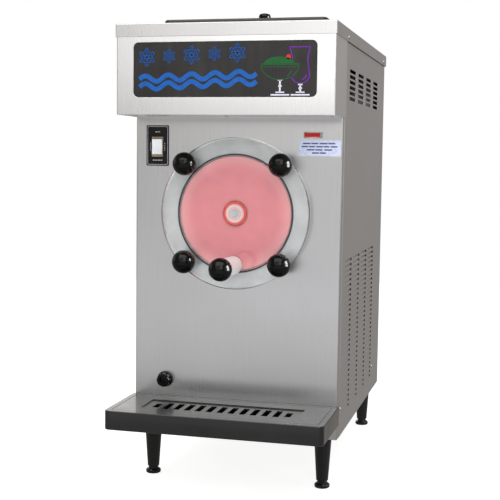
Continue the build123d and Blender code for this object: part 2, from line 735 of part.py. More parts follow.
with BuildPart() as beater_shaft:
    ring(POCKET_FRONT + 0.8, 14, SHAFT_TIP)
    ring(14, BARREL_LENGTH - 8, SHAFT_MAIN)
    ring(BARREL_LENGTH - 8, SHAFT_END, SHAFT_REAR)
finish(beater_shaft.part, "beater_shaft")

with BuildPart() as beater_frame:
    for spider in SPIDER_DEPTHS:
        with BuildSketch(facing_front(spider + SPIDER_THICKNESS, 0, BARREL_Z)) as arms:
            Circle(22)
            with PolarLocations(BAR_PITCH / 2, 3, start_angle=90):
                Rectangle(BAR_PITCH, 14)
            with PolarLocations(BAR_PITCH, 3, start_angle=90):
                Circle(BAR_RADIUS + 0.1)
            Circle(SHAFT_MAIN, mode=Mode.SUBTRACT)
        extrude(arms.sketch, amount=SPIDER_THICKNESS)
    with BuildSketch(facing_front(SPIDER_DEPTHS[-1] + SPIDER_THICKNESS, 0, BARREL_Z)) as bars:
        with PolarLocations(BAR_PITCH, 3, start_angle=90):
            Circle(BAR_RADIUS)
    extrude(bars.sketch, amount=SPIDER_DEPTHS[-1] + SPIDER_THICKNESS - SPIDER_DEPTHS[0])
finish(beater_frame.part, "beater_frame")

with BuildPart() as scraper_blades:
    with BuildSketch(facing_front(SPIDER_DEPTHS[-1] + SPIDER_THICKNESS, 0, BARREL_Z)) as blades:
        with PolarLocations((BLADE_OUT + BLADE_IN) / 2, 3, start_angle=90):
            Rectangle(BLADE_OUT - BLADE_IN - 0.4, 10)
    extrude(blades.sketch, amount=SPIDER_DEPTHS[-1] + SPIDER_THICKNESS - SPIDER_DEPTHS[0])
finish(scraper_blades.part, "scraper_blades")

with BuildPart() as rear_bearing:
    profile = [
        (BARREL_LENGTH - 3, SHAFT_REAR + RUNNING),
        (BARREL_LENGTH - 3, BEARING_SPIGOT),
        (BARREL_LENGTH, BEARING_SPIGOT),
        (BARREL_LENGTH, 42),
        (BARREL_LENGTH + 6, 42),
        (BARREL_LENGTH + 6, 26),
        (BARREL_LENGTH + 26, 24),
        (BARREL_LENGTH + 26, SHAFT_REAR + RUNNING),
    ]
    turned_along(profile, 0, BARREL_Z)
finish(rear_bearing.part, "rear_bearing")

PULLEY_LIP = 8.0
PULLEY_SIDE = 3.0


def pulley(radius, bore):
    """Section of a flat-belt pulley with a lip on each side of the belt, as (depth, radius) points."""
    low = BELT_FRONT - 1
    high = BELT_BACK + 1
    return [
        (low - PULLEY_SIDE, bore),
        (low - PULLEY_SIDE, radius + PULLEY_LIP),
        (low, radius + PULLEY_LIP),
        (low, radius),
        (high, radius),
        (high, radius + PULLEY_LIP),
        (high + PULLEY_SIDE, radius + PULLEY_LIP),
        (high + PULLEY_SIDE, bore),
    ]


with BuildPart() as driven_pulley:
    turned_along(pulley(DRIVEN_RADIUS, SHAFT_REAR), 0, BARREL_Z)
finish(driven_pulley.part, "driven_pulley")

ROTOR_RADIUS = 8.0
MOTOR_BACK = 424.0

with BuildPart() as motor_pulley:
    turned_along(pulley(MOTOR_RADIUS, 0), MOTOR_X, MOTOR_Z)
    ring(MOTOR_BACK - 30, BELT_FRONT, ROTOR_RADIUS, x=MOTOR_X, z=MOTOR_Z)
finish(motor_pulley.part, "motor_pulley")


def belt_outline(extra):
    """Both pulleys' circles, grown by the same amount and wrapped by one tight line."""
    with BuildSketch() as outline:
        with Locations((0, BARREL_Z)):
            Circle(DRIVEN_RADIUS + extra)
        with Locations((MOTOR_X, MOTOR_Z)):
            Circle(MOTOR_RADIUS + extra)
        make_hull()
    return outline.sketch


with BuildPart() as drive_belt:
    with BuildSketch(facing_front(BELT_BACK)):
        add(belt_outline(4.3))
        add(belt_outline(GAP), mode=Mode.SUBTRACT)
    extrude(amount=BELT_BACK - BELT_FRONT)
finish(drive_belt.part, "drive_belt")

MOTOR_CAN = 60.0
GEARBOX_HALF = 52.0

with BuildPart() as gear_motor:
    profile = [
        (262, 0),
        (262, 40),
        (270, MOTOR_CAN - 6),
        (274, MOTOR_CAN),
        (366, MOTOR_CAN),
        (370, MOTOR_CAN - 6),
        (380, MOTOR_CAN - 6),
        (380, 0),
    ]
    turned_along(profile, MOTOR_X, MOTOR_Z)
    ring(276, 362, MOTOR_CAN - 8, x=MOTOR_X, z=MOTOR_Z, mode=Mode.SUBTRACT)
    block(
        (MOTOR_X - GEARBOX_HALF, 374, MOTOR_Z - 60),
        (MOTOR_X + GEARBOX_HALF, MOTOR_BACK - 6, MOTOR_Z + 60),
    )
    ring(MOTOR_BACK - 6, MOTOR_BACK, 24, x=MOTOR_X, z=MOTOR_Z)
    ring(MOTOR_BACK - 32, MOTOR_BACK + 1, ROTOR_RADIUS + RUNNING, x=MOTOR_X, z=MOTOR_Z, mode=Mode.SUBTRACT)
finish(gear_motor.part, "gear_motor")

MOUNT_WALL = 4.0

with BuildPart() as motor_mount:
    mount_top = MOTOR_Z - 60
    block(
        (MOTOR_X - 60, 300, mount_top - MOUNT_WALL),
        (MOTOR_X + 60, MOTOR_BACK - 6, mount_top),
    )
    for wall_x in (MOTOR_X - 60, MOTOR_X + 60 - MOUNT_WALL):
        block(
            (wall_x, 300, LEG_HEIGHT + PAN_WALL),
            (wall_x + MOUNT_WALL, MOTOR_BACK - 6, mount_top),
        )
finish(motor_mount.part, "motor_mount")

# ---- Refrigeration --------------------------------------------------------------------------------

COMPRESSOR_X = -100.0
COMPRESSOR_DEPTH = 340.0
COMPRESSOR_RADIUS = 72.0

with BuildPart() as compressor:
    profile = [
        (0, 118),
        (50, 118),
        (COMPRESSOR_RADIUS, 134),
        (COMPRESSOR_RADIUS, 270),
        (62, 288),
        (40, 298),
        (0, 300),
    ]
    turned_up(profile, COMPRESSOR_X, COMPRESSOR_DEPTH)
    column(150, 268, 60, COMPRESSOR_X, COMPRESSOR_DEPTH, Mode.SUBTRACT)
    block((COMPRESSOR_X - 78, 262, 114), (COMPRESSOR_X + 78, 418, 119))
    for side in (-1, 1):
        for foot_depth in (272, 408):
            column(LEG_HEIGHT + PAN_WALL, 115, 9, COMPRESSOR_X + side * 68, foot_depth)
    block((COMPRESSOR_X - 25, 405, 190), (COMPRESSOR_X + 25, 428, 245))
finish(compressor.part, "compressor")

CORE_HALF = 150.0
CORE_FRONT = 40.0
CORE_BACK = 82.0
CORE_LOW = LEG_HEIGHT + PAN_WALL
CORE_HIGH = 350.0
FIN_GAPS = 36

with BuildPart() as condenser:
    block((-CORE_HALF, CORE_FRONT, CORE_LOW), (CORE_HALF, CORE_BACK, CORE_HIGH))
    fin_pitch = (2 * CORE_HALF - 20) / FIN_GAPS
    for face_depth in (CORE_FRONT, CORE_BACK):
        with Locations((0, deep(face_depth), (CORE_LOW + CORE_HIGH) / 2)):
            with GridLocations(fin_pitch, 0, FIN_GAPS, 1):
                Box(fin_pitch - 1.4, 24, CORE_HIGH - CORE_LOW - 20, mode=Mode.SUBTRACT)
finish(condenser.part, "condenser")

FAN_Z = 231.0
SHROUD_BACK = 98.0
FAN_REACH = 88.0
FAN_MOTOR_FRONT = 138.0

with BuildPart() as fan_shroud:
    block((-CORE_HALF, CORE_BACK, CORE_LOW), (CORE_HALF, SHROUD_BACK, CORE_HIGH))
    block(
        (-CORE_HALF + 2, CORE_BACK - 1, CORE_LOW + 2),
        (CORE_HALF - 2, SHROUD_BACK - 2, CORE_HIGH - 2),
        Mode.SUBTRACT,
    )
    ring(SHROUD_BACK - 2, SHROUD_BACK + 22, FAN_REACH + 7, z=FAN_Z)
    ring(CORE_BACK, SHROUD_BACK + 30, FAN_REACH + 5, z=FAN_Z, mode=Mode.SUBTRACT)
finish(fan_shroud.part, "fan_shroud")

with BuildPart() as fan_motor:
    ring(FAN_MOTOR_FRONT, FAN_MOTOR_FRONT + 52, 36, z=FAN_Z)
    ring(FAN_MOTOR_FRONT - 1, FAN_MOTOR_FRONT + 30, 4 + RUNNING, z=FAN_Z, mode=Mode.SUBTRACT)
    block((-8, FAN_MOTOR_FRONT + 20, LEG_HEIGHT + PAN_WALL), (8, FAN_MOTOR_FRONT + 30, FAN_Z - 20))
    block(
        (-30, FAN_MOTOR_FRONT, LEG_HEIGHT + PAN_WALL),
        (30, FAN_MOTOR_FRONT + 50, LEG_HEIGHT + PAN_WALL + 3),
    )
finish(fan_motor.part, "fan_motor")

FAN_BLADES = 5
BLADE_TWIST = 28.0

with BuildPart() as fan_blade:
    ring(104, 130, 20, z=FAN_Z)
    ring(104, FAN_MOTOR_FRONT + 28, 4, z=FAN_Z)
    fan_plane = facing_front(115, 0, FAN_Z)
    with Locations(fan_plane.location):
        with PolarLocations((FAN_REACH + 16) / 2, FAN_BLADES):
            with Locations(Location((0, 0, 0), (BLADE_TWIST, 0, 0))):
                Box(FAN_REACH - 20, 46, 1.6)
finish(fan_blade.part, "fan_blade")

TUBE_RADIUS = 4.0
tube_bend = 14.0
suction_x = -60.0
lines = [
    [
        (suction_x, BARREL_LENGTH - 3.5, 424.0),
        (suction_x, 420, 424.0),
        (suction_x, 420, 335),
        (suction_x, COMPRESSOR_DEPTH, 335),
        (suction_x, COMPRESSOR_DEPTH, 298.5),
    ],
    [
        (COMPRESSOR_X, COMPRESSOR_DEPTH - COMPRESSOR_RADIUS, 200),
        (COMPRESSOR_X, 225, 200),
        (-172, 225, 200),
        (-172, 62, 200),
        (-CORE_HALF, 62, 200),
    ],
    [
        (CORE_HALF, 62, 320),
        (CORE_HALF + 22, 62, 320),
        (CORE_HALF + 22, 62, BARREL_Z),
        (CORE_HALF + 22, 120, BARREL_Z),
        (INSULATION_OUT, 120, BARREL_Z),
    ],
]

COIL_TUBE = 4.5
COIL_FIRST = 112.0
COIL_PITCH = 25.0
COIL_TURNS = 11
coil_radius = BARREL_OUT + COIL_TUBE + 0.5

with BuildPart() as refrigerant_lines:
    for route in lines:
        points = [(x, deep(depth), z) for x, depth, z in route]
        with BuildLine() as path:
            FilletPolyline(*points, radius=tube_bend)
        with BuildSketch(Plane(origin=path.line @ 0, z_dir=path.line % 0)) as tube:
            Circle(TUBE_RADIUS)
        sweep(tube.sketch, path=path.line)
    for turn in range(COIL_TURNS):
        coil_plane = facing_front(COIL_FIRST + COIL_PITCH * turn, 0, BARREL_Z)
        with Locations(coil_plane.location):
            Torus(coil_radius, COIL_TUBE)
finish(refrigerant_lines.part, "refrigerant_lines")

BOX_HALF = 120.0
BOX_FRONT = 395.0
BOX_BACK = 535.0
BOX_LOW = 700.0
BOX_HIGH = 815.0
COVER_LAP = 4.0

with BuildPart() as control_box:
    block((-BOX_HALF, BOX_FRONT, BOX_LOW), (BOX_HALF, BOX_BACK, BOX_HIGH))
    fillet(control_box.edges().filter_by(Axis.Z), 4)
    block(
        (-BOX_HALF - COVER_LAP, BOX_FRONT - COVER_LAP, BOX_HIGH - 7),
        (BOX_HALF + COVER_LAP, BOX_BACK + COVER_LAP, BOX_HIGH + SHEET),
    )
    block(
        (-BOX_HALF + SHEET, BOX_FRONT + SHEET, BOX_LOW + SHEET),
        (BOX_HALF - SHEET, BOX_BACK + COVER_LAP + 1, BOX_HIGH),
        Mode.SUBTRACT,
    )
finish(control_box.part, "control_box")

# ---- Switch, pilot lamp and adjusting knob --------------------------------------------------------

PLATE_WIDTH = 45.6
PLATE_HEIGHT = 78.1
PLATE_Z = 654.15
PLATE_FRONT = -1.2
BEZEL_FRONT = -2.8
ROCKER_WIDTH = 20.2
ROCKER_HALF = 14.7
ROCKER_PIVOT = -0.5
POCKET_HALF = 15.7
PIN_RADIUS = 1.5
rocker_side = Plane(origin=(SWITCH_X, deep(ROCKER_PIVOT), SWITCH_Z), x_dir=(0, 1, 0), z_dir=(1, 0, 0))

with BuildPart() as switch_plate:
    with BuildSketch(facing_front(0, SWITCH_X, PLATE_Z)):
        RectangleRounded(PLATE_WIDTH, PLATE_HEIGHT, 2.5)
        with Locations((0, SWITCH_Z - PLATE_Z)):
            Rectangle(BEZEL_WIDTH + 0.4, BEZEL_HEIGHT + 0.4, mode=Mode.SUBTRACT)
    extrude(amount=-PLATE_FRONT)
finish(switch_plate.part, "switch_plate")

with BuildPart() as switch_bezel:
    block(
        (SWITCH_X - BEZEL_WIDTH / 2, BEZEL_FRONT, SWITCH_Z - BEZEL_HEIGHT / 2),
        (SWITCH_X + BEZEL_WIDTH / 2, 26, SWITCH_Z + BEZEL_HEIGHT / 2),
    )
    block(
        (SWITCH_X - ROCKER_WIDTH / 2 - GAP, BEZEL_FRONT - 1, SWITCH_Z - POCKET_HALF),
        (SWITCH_X + ROCKER_WIDTH / 2 + GAP, 18, SWITCH_Z + POCKET_HALF),
        Mode.SUBTRACT,
    )
    with BuildSketch(rocker_side) as pin_holes:
        Circle(PIN_RADIUS + RUNNING)
    extrude(pin_holes.sketch, amount=BEZEL_WIDTH, both=True, mode=Mode.SUBTRACT)
finish(switch_bezel.part, "switch_bezel")

with BuildPart() as rocker:
    with BuildSketch(rocker_side) as rocker_section:
        with BuildLine():
            Polyline(
                (-5.4, ROCKER_HALF),
                (-3.8, 0),
                (-5.4, -ROCKER_HALF),
                (2.5, -ROCKER_HALF),
                (10, -6),
                (10, 6),
                (2.5, ROCKER_HALF),
                close=True,
            )
        make_face()
    extrude(rocker_section.sketch, amount=ROCKER_WIDTH / 2, both=True)
    with BuildSketch(rocker_side) as pin:
        Circle(PIN_RADIUS)
    extrude(pin.sketch, amount=BEZEL_WIDTH / 2 - 0.1, both=True)
finish(rocker.part, "rocker")

LENS_WIDTH = 29.8
LENS_HEIGHT = 7.4
LENS_SHIFT = -1.5

with BuildPart() as pilot_bezel:
    with BuildSketch(facing_front(0, PILOT_X, PILOT_Z)) as bezel_face:
        RectangleRounded(PILOT_WIDTH, PILOT_HEIGHT, 1.0)
    extrude(bezel_face.sketch, amount=2.2)
    with BuildSketch(facing_front(14, PILOT_X, PILOT_Z)) as bezel_body:
        Rectangle(PILOT_WIDTH - 2.4, PILOT_HEIGHT - 2.4)
    extrude(bezel_body.sketch, amount=14)
    block(
        (PILOT_X + LENS_SHIFT - LENS_WIDTH / 2, -3, PILOT_Z - LENS_HEIGHT / 2),
        (PILOT_X + LENS_SHIFT + LENS_WIDTH / 2, 10, PILOT_Z + LENS_HEIGHT / 2),
        Mode.SUBTRACT,
    )
finish(pilot_bezel.part, "pilot_bezel")

with BuildPart() as pilot_lens:
    block(
        (PILOT_X + LENS_SHIFT - LENS_WIDTH / 2, -3.0, PILOT_Z - LENS_HEIGHT / 2),
        (PILOT_X + LENS_SHIFT + LENS_WIDTH / 2, 10, PILOT_Z + LENS_HEIGHT / 2),
    )
    fillet(pilot_lens.faces().sort_by(Axis.Y)[0].edges(), 0.7)
finish(pilot_lens.part, "pilot_lens")

FLUTES = 8

with BuildPart() as adjust_knob:
    profile = [
        (-18.5, 0),
        (-18.5, 11.5),
        (-16.5, 13.0),
        (-4.5, 14.0),
        (-4.0, 15.5),
        (-GAP, 15.5),
        (-GAP, ADJUST_SHAFT),
        (16, ADJUST_SHAFT),
        (16, 0),
    ]
    turned_along(profile, ADJUST_X, ADJUST_Z)
    with BuildSketch(facing_front(-4.5, ADJUST_X, ADJUST_Z)) as flutes:
        with PolarLocations(15.6, FLUTES, start_angle=22.5):
            Circle(3.4)
    extrude(flutes.sketch, amount=16, mode=Mode.SUBTRACT)
    ring(-20, -12, 7.5, x=ADJUST_X, z=ADJUST_Z, mode=Mode.SUBTRACT)
finish(adjust_knob.part, "adjust_knob")

# ---- Drip tray, grid plate and brackets -----------------------------------------------------------

TRAY_REAR = -0.6
TRAY_RIM = 11.5
TRAY_CORNER = 11.0
GRID_THICKNESS = 6.0
GRID_FIT = 0.5
BASIN_MARGIN = 6.0
SLOT_PITCH = 21.2
SLOT_WIDTH = 11.5
SLOT_COUNT = 13
SLOT_LENGTH = 50.0
SLOT_SHORT = 31.0
SLOT_MIDDLE = -83.0
RECESS_HALF = 150.0
RECESS_FRONT = -113.0
RECESS_BACK = -44.0
RECESS_DROP = 2.2

grid_half = TRAY_HALF - TRAY_RIM
grid_front = -TRAY_OUT + TRAY_RIM
grid_back = TRAY_REAR - TRAY_RIM
seat_z = TRAY_TOP - GRID_THICKNESS - 0.2

with BuildPart() as drip_tray:
    with BuildSketch(Plane.XY.offset(TRAY_BOTTOM)):
        add(folded_outline(TRAY_HALF, -TRAY_OUT, TRAY_REAR, TRAY_CORNER))
    extrude(amount=TRAY_TOP - TRAY_BOTTOM)
    fillet(drip_tray.faces().sort_by(Axis.Z)[-1].edges(), 1.6)
    fillet(drip_tray.faces().sort_by(Axis.Z)[0].edges(), 2.4)
    block((-grid_half, grid_front, seat_z), (grid_half, grid_back, TRAY_TOP + 1), Mode.SUBTRACT)
    block(
        (-grid_half + BASIN_MARGIN, grid_front + BASIN_MARGIN, TRAY_BOTTOM + 3),
        (grid_half - BASIN_MARGIN, grid_back - BASIN_MARGIN, TRAY_TOP),
        Mode.SUBTRACT,
    )
finish(drip_tray.part, "drip_tray")

with BuildPart() as drip_grid:
    block(
        (-grid_half + GRID_FIT, grid_front + GRID_FIT, seat_z + 0.2),
        (grid_half - GRID_FIT, grid_back - GRID_FIT, TRAY_TOP),
    )
    fillet(drip_grid.faces().sort_by(Axis.Z)[-1].edges(), 0.8)
    block(
        (-RECESS_HALF, RECESS_FRONT, TRAY_TOP - RECESS_DROP),
        (RECESS_HALF, RECESS_BACK, TRAY_TOP + 1),
        Mode.SUBTRACT,
    )
    for slot in range(SLOT_COUNT):
        slot_length = SLOT_SHORT if slot in (0, SLOT_COUNT - 1) else SLOT_LENGTH
        slot_x = (slot - (SLOT_COUNT - 1) / 2) * SLOT_PITCH
        with Locations((slot_x, deep(SLOT_MIDDLE), TRAY_TOP - GRID_THICKNESS / 2)):
            Box(SLOT_WIDTH, slot_length, 3 * GRID_THICKNESS, mode=Mode.SUBTRACT)
finish(drip_grid.part, "drip_grid")

BRACKET_X = 120.0
BRACKET_HALF = 12.0
BRACKET_WALL = 4.0
BRACKET_FRONT = -115.0

with BuildPart() as tray_brackets:
    for side in (-1, 1):
        block(
            (side * BRACKET_X - BRACKET_HALF, BRACKET_FRONT, TRAY_BOTTOM - GAP - BRACKET_WALL),
            (side * BRACKET_X + BRACKET_HALF, 0, TRAY_BOTTOM - GAP),
        )
        block(
            (side * BRACKET_X - BRACKET_HALF, -BRACKET_WALL, LEG_HEIGHT + 2),
            (side * BRACKET_X + BRACKET_HALF, 0, TRAY_BOTTOM - GAP),
        )
finish(tray_brackets.part, "tray_brackets")

# ---- Screws ---------------------------------------------------------------------------------------

with BuildPart() as case_screws:
    for x, depth, z, side in cap_screws:
        screw((x, depth, z), (side, 0, 0), 6)
    for x, depth, z, side in side_screws:
        screw((x, depth, z), (side, 0, 0), 1.8)
    for place in header_screws:
        screw(place, (0, 0, -1), 4)
    for place in rear_screws:
        screw(place, (0, 1, 0), 1.4)
finish(case_screws.part, "case_screws")
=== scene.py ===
"""The looks of a single-barrel countertop frozen drink machine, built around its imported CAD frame.

Metres. +X is the machine's right as seen from the front, +Y runs into the machine, +Z is up.
"""

import bpy
import bmesh
import json
import math
import random
from mathutils import Matrix, Vector


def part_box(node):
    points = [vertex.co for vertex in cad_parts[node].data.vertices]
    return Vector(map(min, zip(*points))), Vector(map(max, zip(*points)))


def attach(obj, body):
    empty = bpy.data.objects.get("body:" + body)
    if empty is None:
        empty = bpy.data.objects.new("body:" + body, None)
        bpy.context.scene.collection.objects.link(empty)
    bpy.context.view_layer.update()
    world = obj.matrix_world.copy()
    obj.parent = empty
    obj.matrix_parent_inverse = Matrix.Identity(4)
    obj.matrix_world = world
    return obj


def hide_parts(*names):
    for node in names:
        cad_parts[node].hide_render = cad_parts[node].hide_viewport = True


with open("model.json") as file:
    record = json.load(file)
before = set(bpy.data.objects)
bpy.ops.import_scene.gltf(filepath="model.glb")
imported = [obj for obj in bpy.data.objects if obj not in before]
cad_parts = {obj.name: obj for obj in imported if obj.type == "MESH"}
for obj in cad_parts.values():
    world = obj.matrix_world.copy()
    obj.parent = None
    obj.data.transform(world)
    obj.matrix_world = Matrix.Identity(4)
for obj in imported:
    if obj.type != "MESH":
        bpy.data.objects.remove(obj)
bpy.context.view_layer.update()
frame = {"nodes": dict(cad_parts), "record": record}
dice = random.Random(11)
MM = 0.001


# ---- Node trees ---------------------------------------------------------------------------------


class Finish:
    """One material, with short calls for the nodes that the finishes below share."""

    def __init__(self, name):
        self.material = bpy.data.materials.new(name)
        self.material.use_nodes = True
        self.tree = self.material.node_tree
        self.tree.nodes.clear()
        self.coords = self.add("ShaderNodeTexCoord").outputs["Object"]

    def add(self, kind, inputs=None, **settings):
        made = self.tree.nodes.new(kind)
        for key, value in settings.items():
            setattr(made, key, value)
        for key, value in (inputs or {}).items():
            self.feed(made.inputs[key], value)
        return made

    def feed(self, socket, value):
        if isinstance(value, bpy.types.NodeSocket):
            self.tree.links.new(value, socket)
        else:
            socket.default_value = value

    def stretched(self, stretch):
        return self.add("ShaderNodeMapping", {"Vector": self.coords, "Scale": stretch}).outputs[0]

    def noise(self, scale, detail=2.0, stretch=(1, 1, 1)):
        """Cloudy grey values, from about 0.3 to 0.7. A low stretch along an axis draws them out along it."""
        sockets = {"Vector": self.stretched(stretch), "Scale": scale, "Detail": detail}
        return self.add("ShaderNodeTexNoise", sockets).outputs["Fac"]

    def cells(self, scale, output="Distance", stretch=(1, 1, 1)):
        sockets = {"Vector": self.stretched(stretch), "Scale": scale}
        return self.add("ShaderNodeTexVoronoi", sockets).outputs[output]

    def spread(self, value, low, high, start=0.3, end=0.7):
        sockets = {"Value": value, "From Min": start, "From Max": end, "To Min": low, "To Max": high}
        return self.add("ShaderNodeMapRange", sockets).outputs["Result"]

    def math(self, operation, a, b=0.0):
        return self.add("ShaderNodeMath", {0: a, 1: b}, operation=operation).outputs[0]

    def radius(self, centre):
        """Distance from the line along Y through this point."""
        parts = self.add("ShaderNodeSeparateXYZ", {"Vector": self.coords}).outputs
        across = self.math("POWER", self.math("SUBTRACT", parts["X"], centre.x), 2.0)
        up = self.math("POWER", self.math("SUBTRACT", parts["Z"], centre.z), 2.0)
        return self.math("SQRT", self.math("ADD", across, up))

    def tint(self, share, first, second):
        """Colour that goes from first to second as share goes from 0 to 1."""
        made = self.add("ShaderNodeMix", {0: share}, data_type="RGBA")
        for socket, colour in ((made.inputs[6], first), (made.inputs[7], second)):
            if not isinstance(colour, bpy.types.NodeSocket):
                colour = (*colour, 1.0)
            self.feed(socket, colour)
        return made.outputs[2]

    def edges(self, radius):
        """1 along sharp edges and 0 on open faces."""
        rounded = self.add("ShaderNodeBevel", {"Radius": radius}, samples=4).outputs[0]
        flat = self.add("ShaderNodeNewGeometry").outputs["Normal"]
        both = self.add("ShaderNodeVectorMath", {0: rounded, 1: flat}, operation="DOT_PRODUCT")
        return self.spread(both.outputs["Value"], 1.0, 0.0, 0.86, 0.995)

    def bump(self, height, strength, distance, under=None):
        made = self.add("ShaderNodeBump", {"Height": height, "Strength": strength, "Distance": distance})
        if under is not None:
            self.feed(made.inputs["Normal"], under)
        return made.outputs["Normal"]

    def soft_edges(self, radius):
        """A normal that rounds sharp edges off to this radius."""
        return self.add("ShaderNodeBevel", {"Radius": radius}, samples=4).outputs[0]

    def principled(self, **sockets):
        """The shader itself: socket names are written with _ for spaces."""
        named = {key.replace("_", " "): value for key, value in sockets.items()}
        for key, value in named.items():
            if isinstance(value, tuple) and len(value) == 3 and "Color" in key:
                named[key] = (*value, 1.0)
        return self.add("ShaderNodeBsdfPrincipled", named).outputs["BSDF"]

    def done(self, shader):
        out = self.add("ShaderNodeOutputMaterial")
        self.feed(out.inputs["Surface"], shader)
        return self.material


def grey(value, warm=0.0):
    return (value * (1 + warm), value, value * (1 - warm))


# ---- Finishes -----------------------------------------------------------------------------------

ALONG_Z = (1.0, 1.0, 0.012)
ALONG_X = (0.012, 1.0, 1.0)


def brushed_steel(name, tone, low, high, grain=ALONG_Z):
    """Sheet with a fine brushed grain, broad cloudy patches, and folds painted slightly brighter: part edge
    wear, part painted highlight.
    """
    f = Finish(name)
    fine = f.noise(1400, 3, grain)
    long = f.noise(260, 4, grain)
    cloud = f.noise(5, 3)
    streaks = f.math("ADD", f.math("MULTIPLY", fine, 0.85), f.math("MULTIPLY", long, 0.15))
    base = f.tint(f.spread(streaks, 0, 1), grey(tone * 0.95), grey(tone * 1.04))
    patched = f.tint(f.spread(cloud, 0, 0.3), base, grey(tone * 0.93))
    # Painted highlight along the folds, mixed with edge wear: the edges are tinted lighter in the base
    # colour.
    worn_and_highlit = f.tint(f.math("MULTIPLY", f.edges(1.2 * MM), 0.5), patched, grey(min(0.98, tone * 1.35)))
    rough = f.math("ADD", f.spread(streaks, low, high), f.spread(cloud, -0.02, 0.03))
    normal = f.bump(streaks, 0.05, 0.05 * MM, f.soft_edges(0.8 * MM))
    tangent = f.add("ShaderNodeTangent", direction_type="RADIAL", axis="Z").outputs[0]
    return f.done(
        f.principled(
            Base_Color=worn_and_highlit, Metallic=1.0, Roughness=rough, Normal=normal, Anisotropic=0.7, Tangent=tangent
        )
    )


def turned_metal(name, tone, rough):
    """Bar stock or a casting: faint tool marks, dull patches, and edges painted bright: part wear, part
    painted highlight.
    """
    f = Finish(name)
    marks = f.noise(900, 3, (1.0, 0.1, 1.0))
    patches = f.noise(40, 4)
    base = f.tint(f.spread(patches, 0, 1), grey(tone * 0.8), grey(tone * 1.05))
    # Painted highlight along the edges, mixed with wear: the edges are tinted lighter in the base colour.
    worn_and_highlit = f.tint(f.edges(0.8 * MM), base, grey(min(0.98, tone * 1.3)))
    return f.done(
        f.principled(
            Base_Color=worn_and_highlit,
            Metallic=1.0,
            Roughness=f.spread(patches, rough * 0.8, rough * 1.25),
            Normal=f.bump(marks, 0.2, 0.05 * MM, f.soft_edges(0.5 * MM)),
        )
    )


def galvanised(name):
    """Zinc spangle on folded sheet."""
    f = Finish(name)
    spangle = f.add("ShaderNodeSeparateColor", {"Color": f.cells(70, "Color")}).outputs["Red"]
    fine = f.noise(600, 3)
    base = f.tint(spangle, grey(0.42, -0.02), grey(0.6, -0.02))
    return f.done(
        f.principled(
            Base_Color=base,
            Metallic=1.0,
            Roughness=f.spread(spangle, 0.38, 0.55, 0, 1),
            Normal=f.bump(fine, 0.15, 0.1 * MM, f.soft_edges(0.6 * MM)),
        )
    )


def fins(name):
    """Aluminium fin pack, edge on, with a little dust."""
    f = Finish(name)
    dust = f.noise(18, 4)
    base = f.tint(f.spread(dust, 0, 1), grey(0.6), grey(0.36, 0.04))
    return f.done(
        f.principled(
            Base_Color=base,
            Metallic=0.9,
            Roughness=f.spread(dust, 0.3, 0.6),
            Normal=f.bump(f.noise(500, 2), 0.2, 0.1 * MM),
        )
    )


def copper(name):
    f = Finish(name)
    stain = f.noise(30, 5)
    base = f.tint(f.spread(stain, 0, 1), (0.72, 0.33, 0.17), (0.42, 0.2, 0.12))
    return f.done(
        f.principled(
            Base_Color=base,
            Metallic=1.0,
            Roughness=f.spread(stain, 0.22, 0.45),
            Normal=f.bump(f.noise(400, 2), 0.1, 0.1 * MM),
        )
    )


def moulded(name, tone, rough, grain, depth, edge_tone=None, coat=0.0, gloss=0.5):
    """Plastic or rubber: a fine moulded grain, uneven colour and paler rubbed edges, which a high edge_tone
    turns partly into a painted highlight.
    """
    f = Finish(name)
    pits = f.cells(grain)
    cloud = f.noise(14, 4)
    dark = tuple(c * 0.82 for c in tone)
    light = tuple(min(1.0, c * 1.16) for c in tone)
    base = f.tint(f.spread(cloud, 0, 1), dark, light)
    # Paler edges: rubbed wear, and where edge_tone is set high, also a painted highlight.
    rubbed_edge_and_highlight = edge_tone or tuple(min(1.0, c * 1.9 + 0.01) for c in tone)
    scuffs = f.math("MULTIPLY", f.edges(0.9 * MM), f.spread(f.noise(160, 3), 0.25, 0.9))
    return f.done(
        f.principled(
            Base_Color=f.tint(scuffs, base, rubbed_edge_and_highlight),
            Roughness=f.spread(cloud, rough * 0.85, rough * 1.18),
            Normal=f.bump(pits, 0.35, depth, f.soft_edges(0.9 * MM)),
            Coat_Weight=coat,
            Coat_Roughness=0.06,
            Specular_IOR_Level=gloss,
        )
    )


def polished(name, tone, rough, ripple=0.02, gloss=0.5):
    """Glossy moulding with a faint orange peel and hairline scratches."""
    f = Finish(name)
    peel = f.noise(220, 2)
    lines = f.noise(60, 6, (1.0, 1.0, 0.08))
    cloud = f.noise(20, 3)
    base = f.tint(f.spread(cloud, 0, 1), tuple(c * 0.8 for c in tone), tuple(min(1, c * 1.2) for c in tone))
    return f.done(
        f.principled(
            Base_Color=base,
            Roughness=f.spread(lines, rough * 0.6, rough * 1.6),
            Normal=f.bump(peel, ripple, 0.2 * MM, f.soft_edges(0.5 * MM)),
            Specular_IOR_Level=gloss,
        )
    )


def clear_acrylic(name):
    """Clear sheet that lets lamps through, with polished edges."""
    f = Finish(name)
    smear = f.noise(9, 4)
    glass = f.principled(
        Base_Color=f.tint(f.spread(smear, 0, 1), (0.97, 0.98, 0.98), (0.93, 0.95, 0.955)),
        Transmission_Weight=1.0,
        IOR=1.49,
        Roughness=f.spread(smear, 0.0, 0.035),
        Normal=f.bump(f.noise(25, 2), 0.02, 0.3 * MM),
    )
    rays = f.add("ShaderNodeLightPath").outputs
    passing = f.math("MAXIMUM", rays["Is Shadow Ray"], rays["Is Diffuse Ray"])
    through = f.add("ShaderNodeBsdfTransparent", {"Color": (0.93, 0.94, 0.94, 1)}).outputs[0]
    mixed = f.add("ShaderNodeMixShader", {0: passing, 1: glass, 2: through}).outputs[0]
    return f.done(mixed)


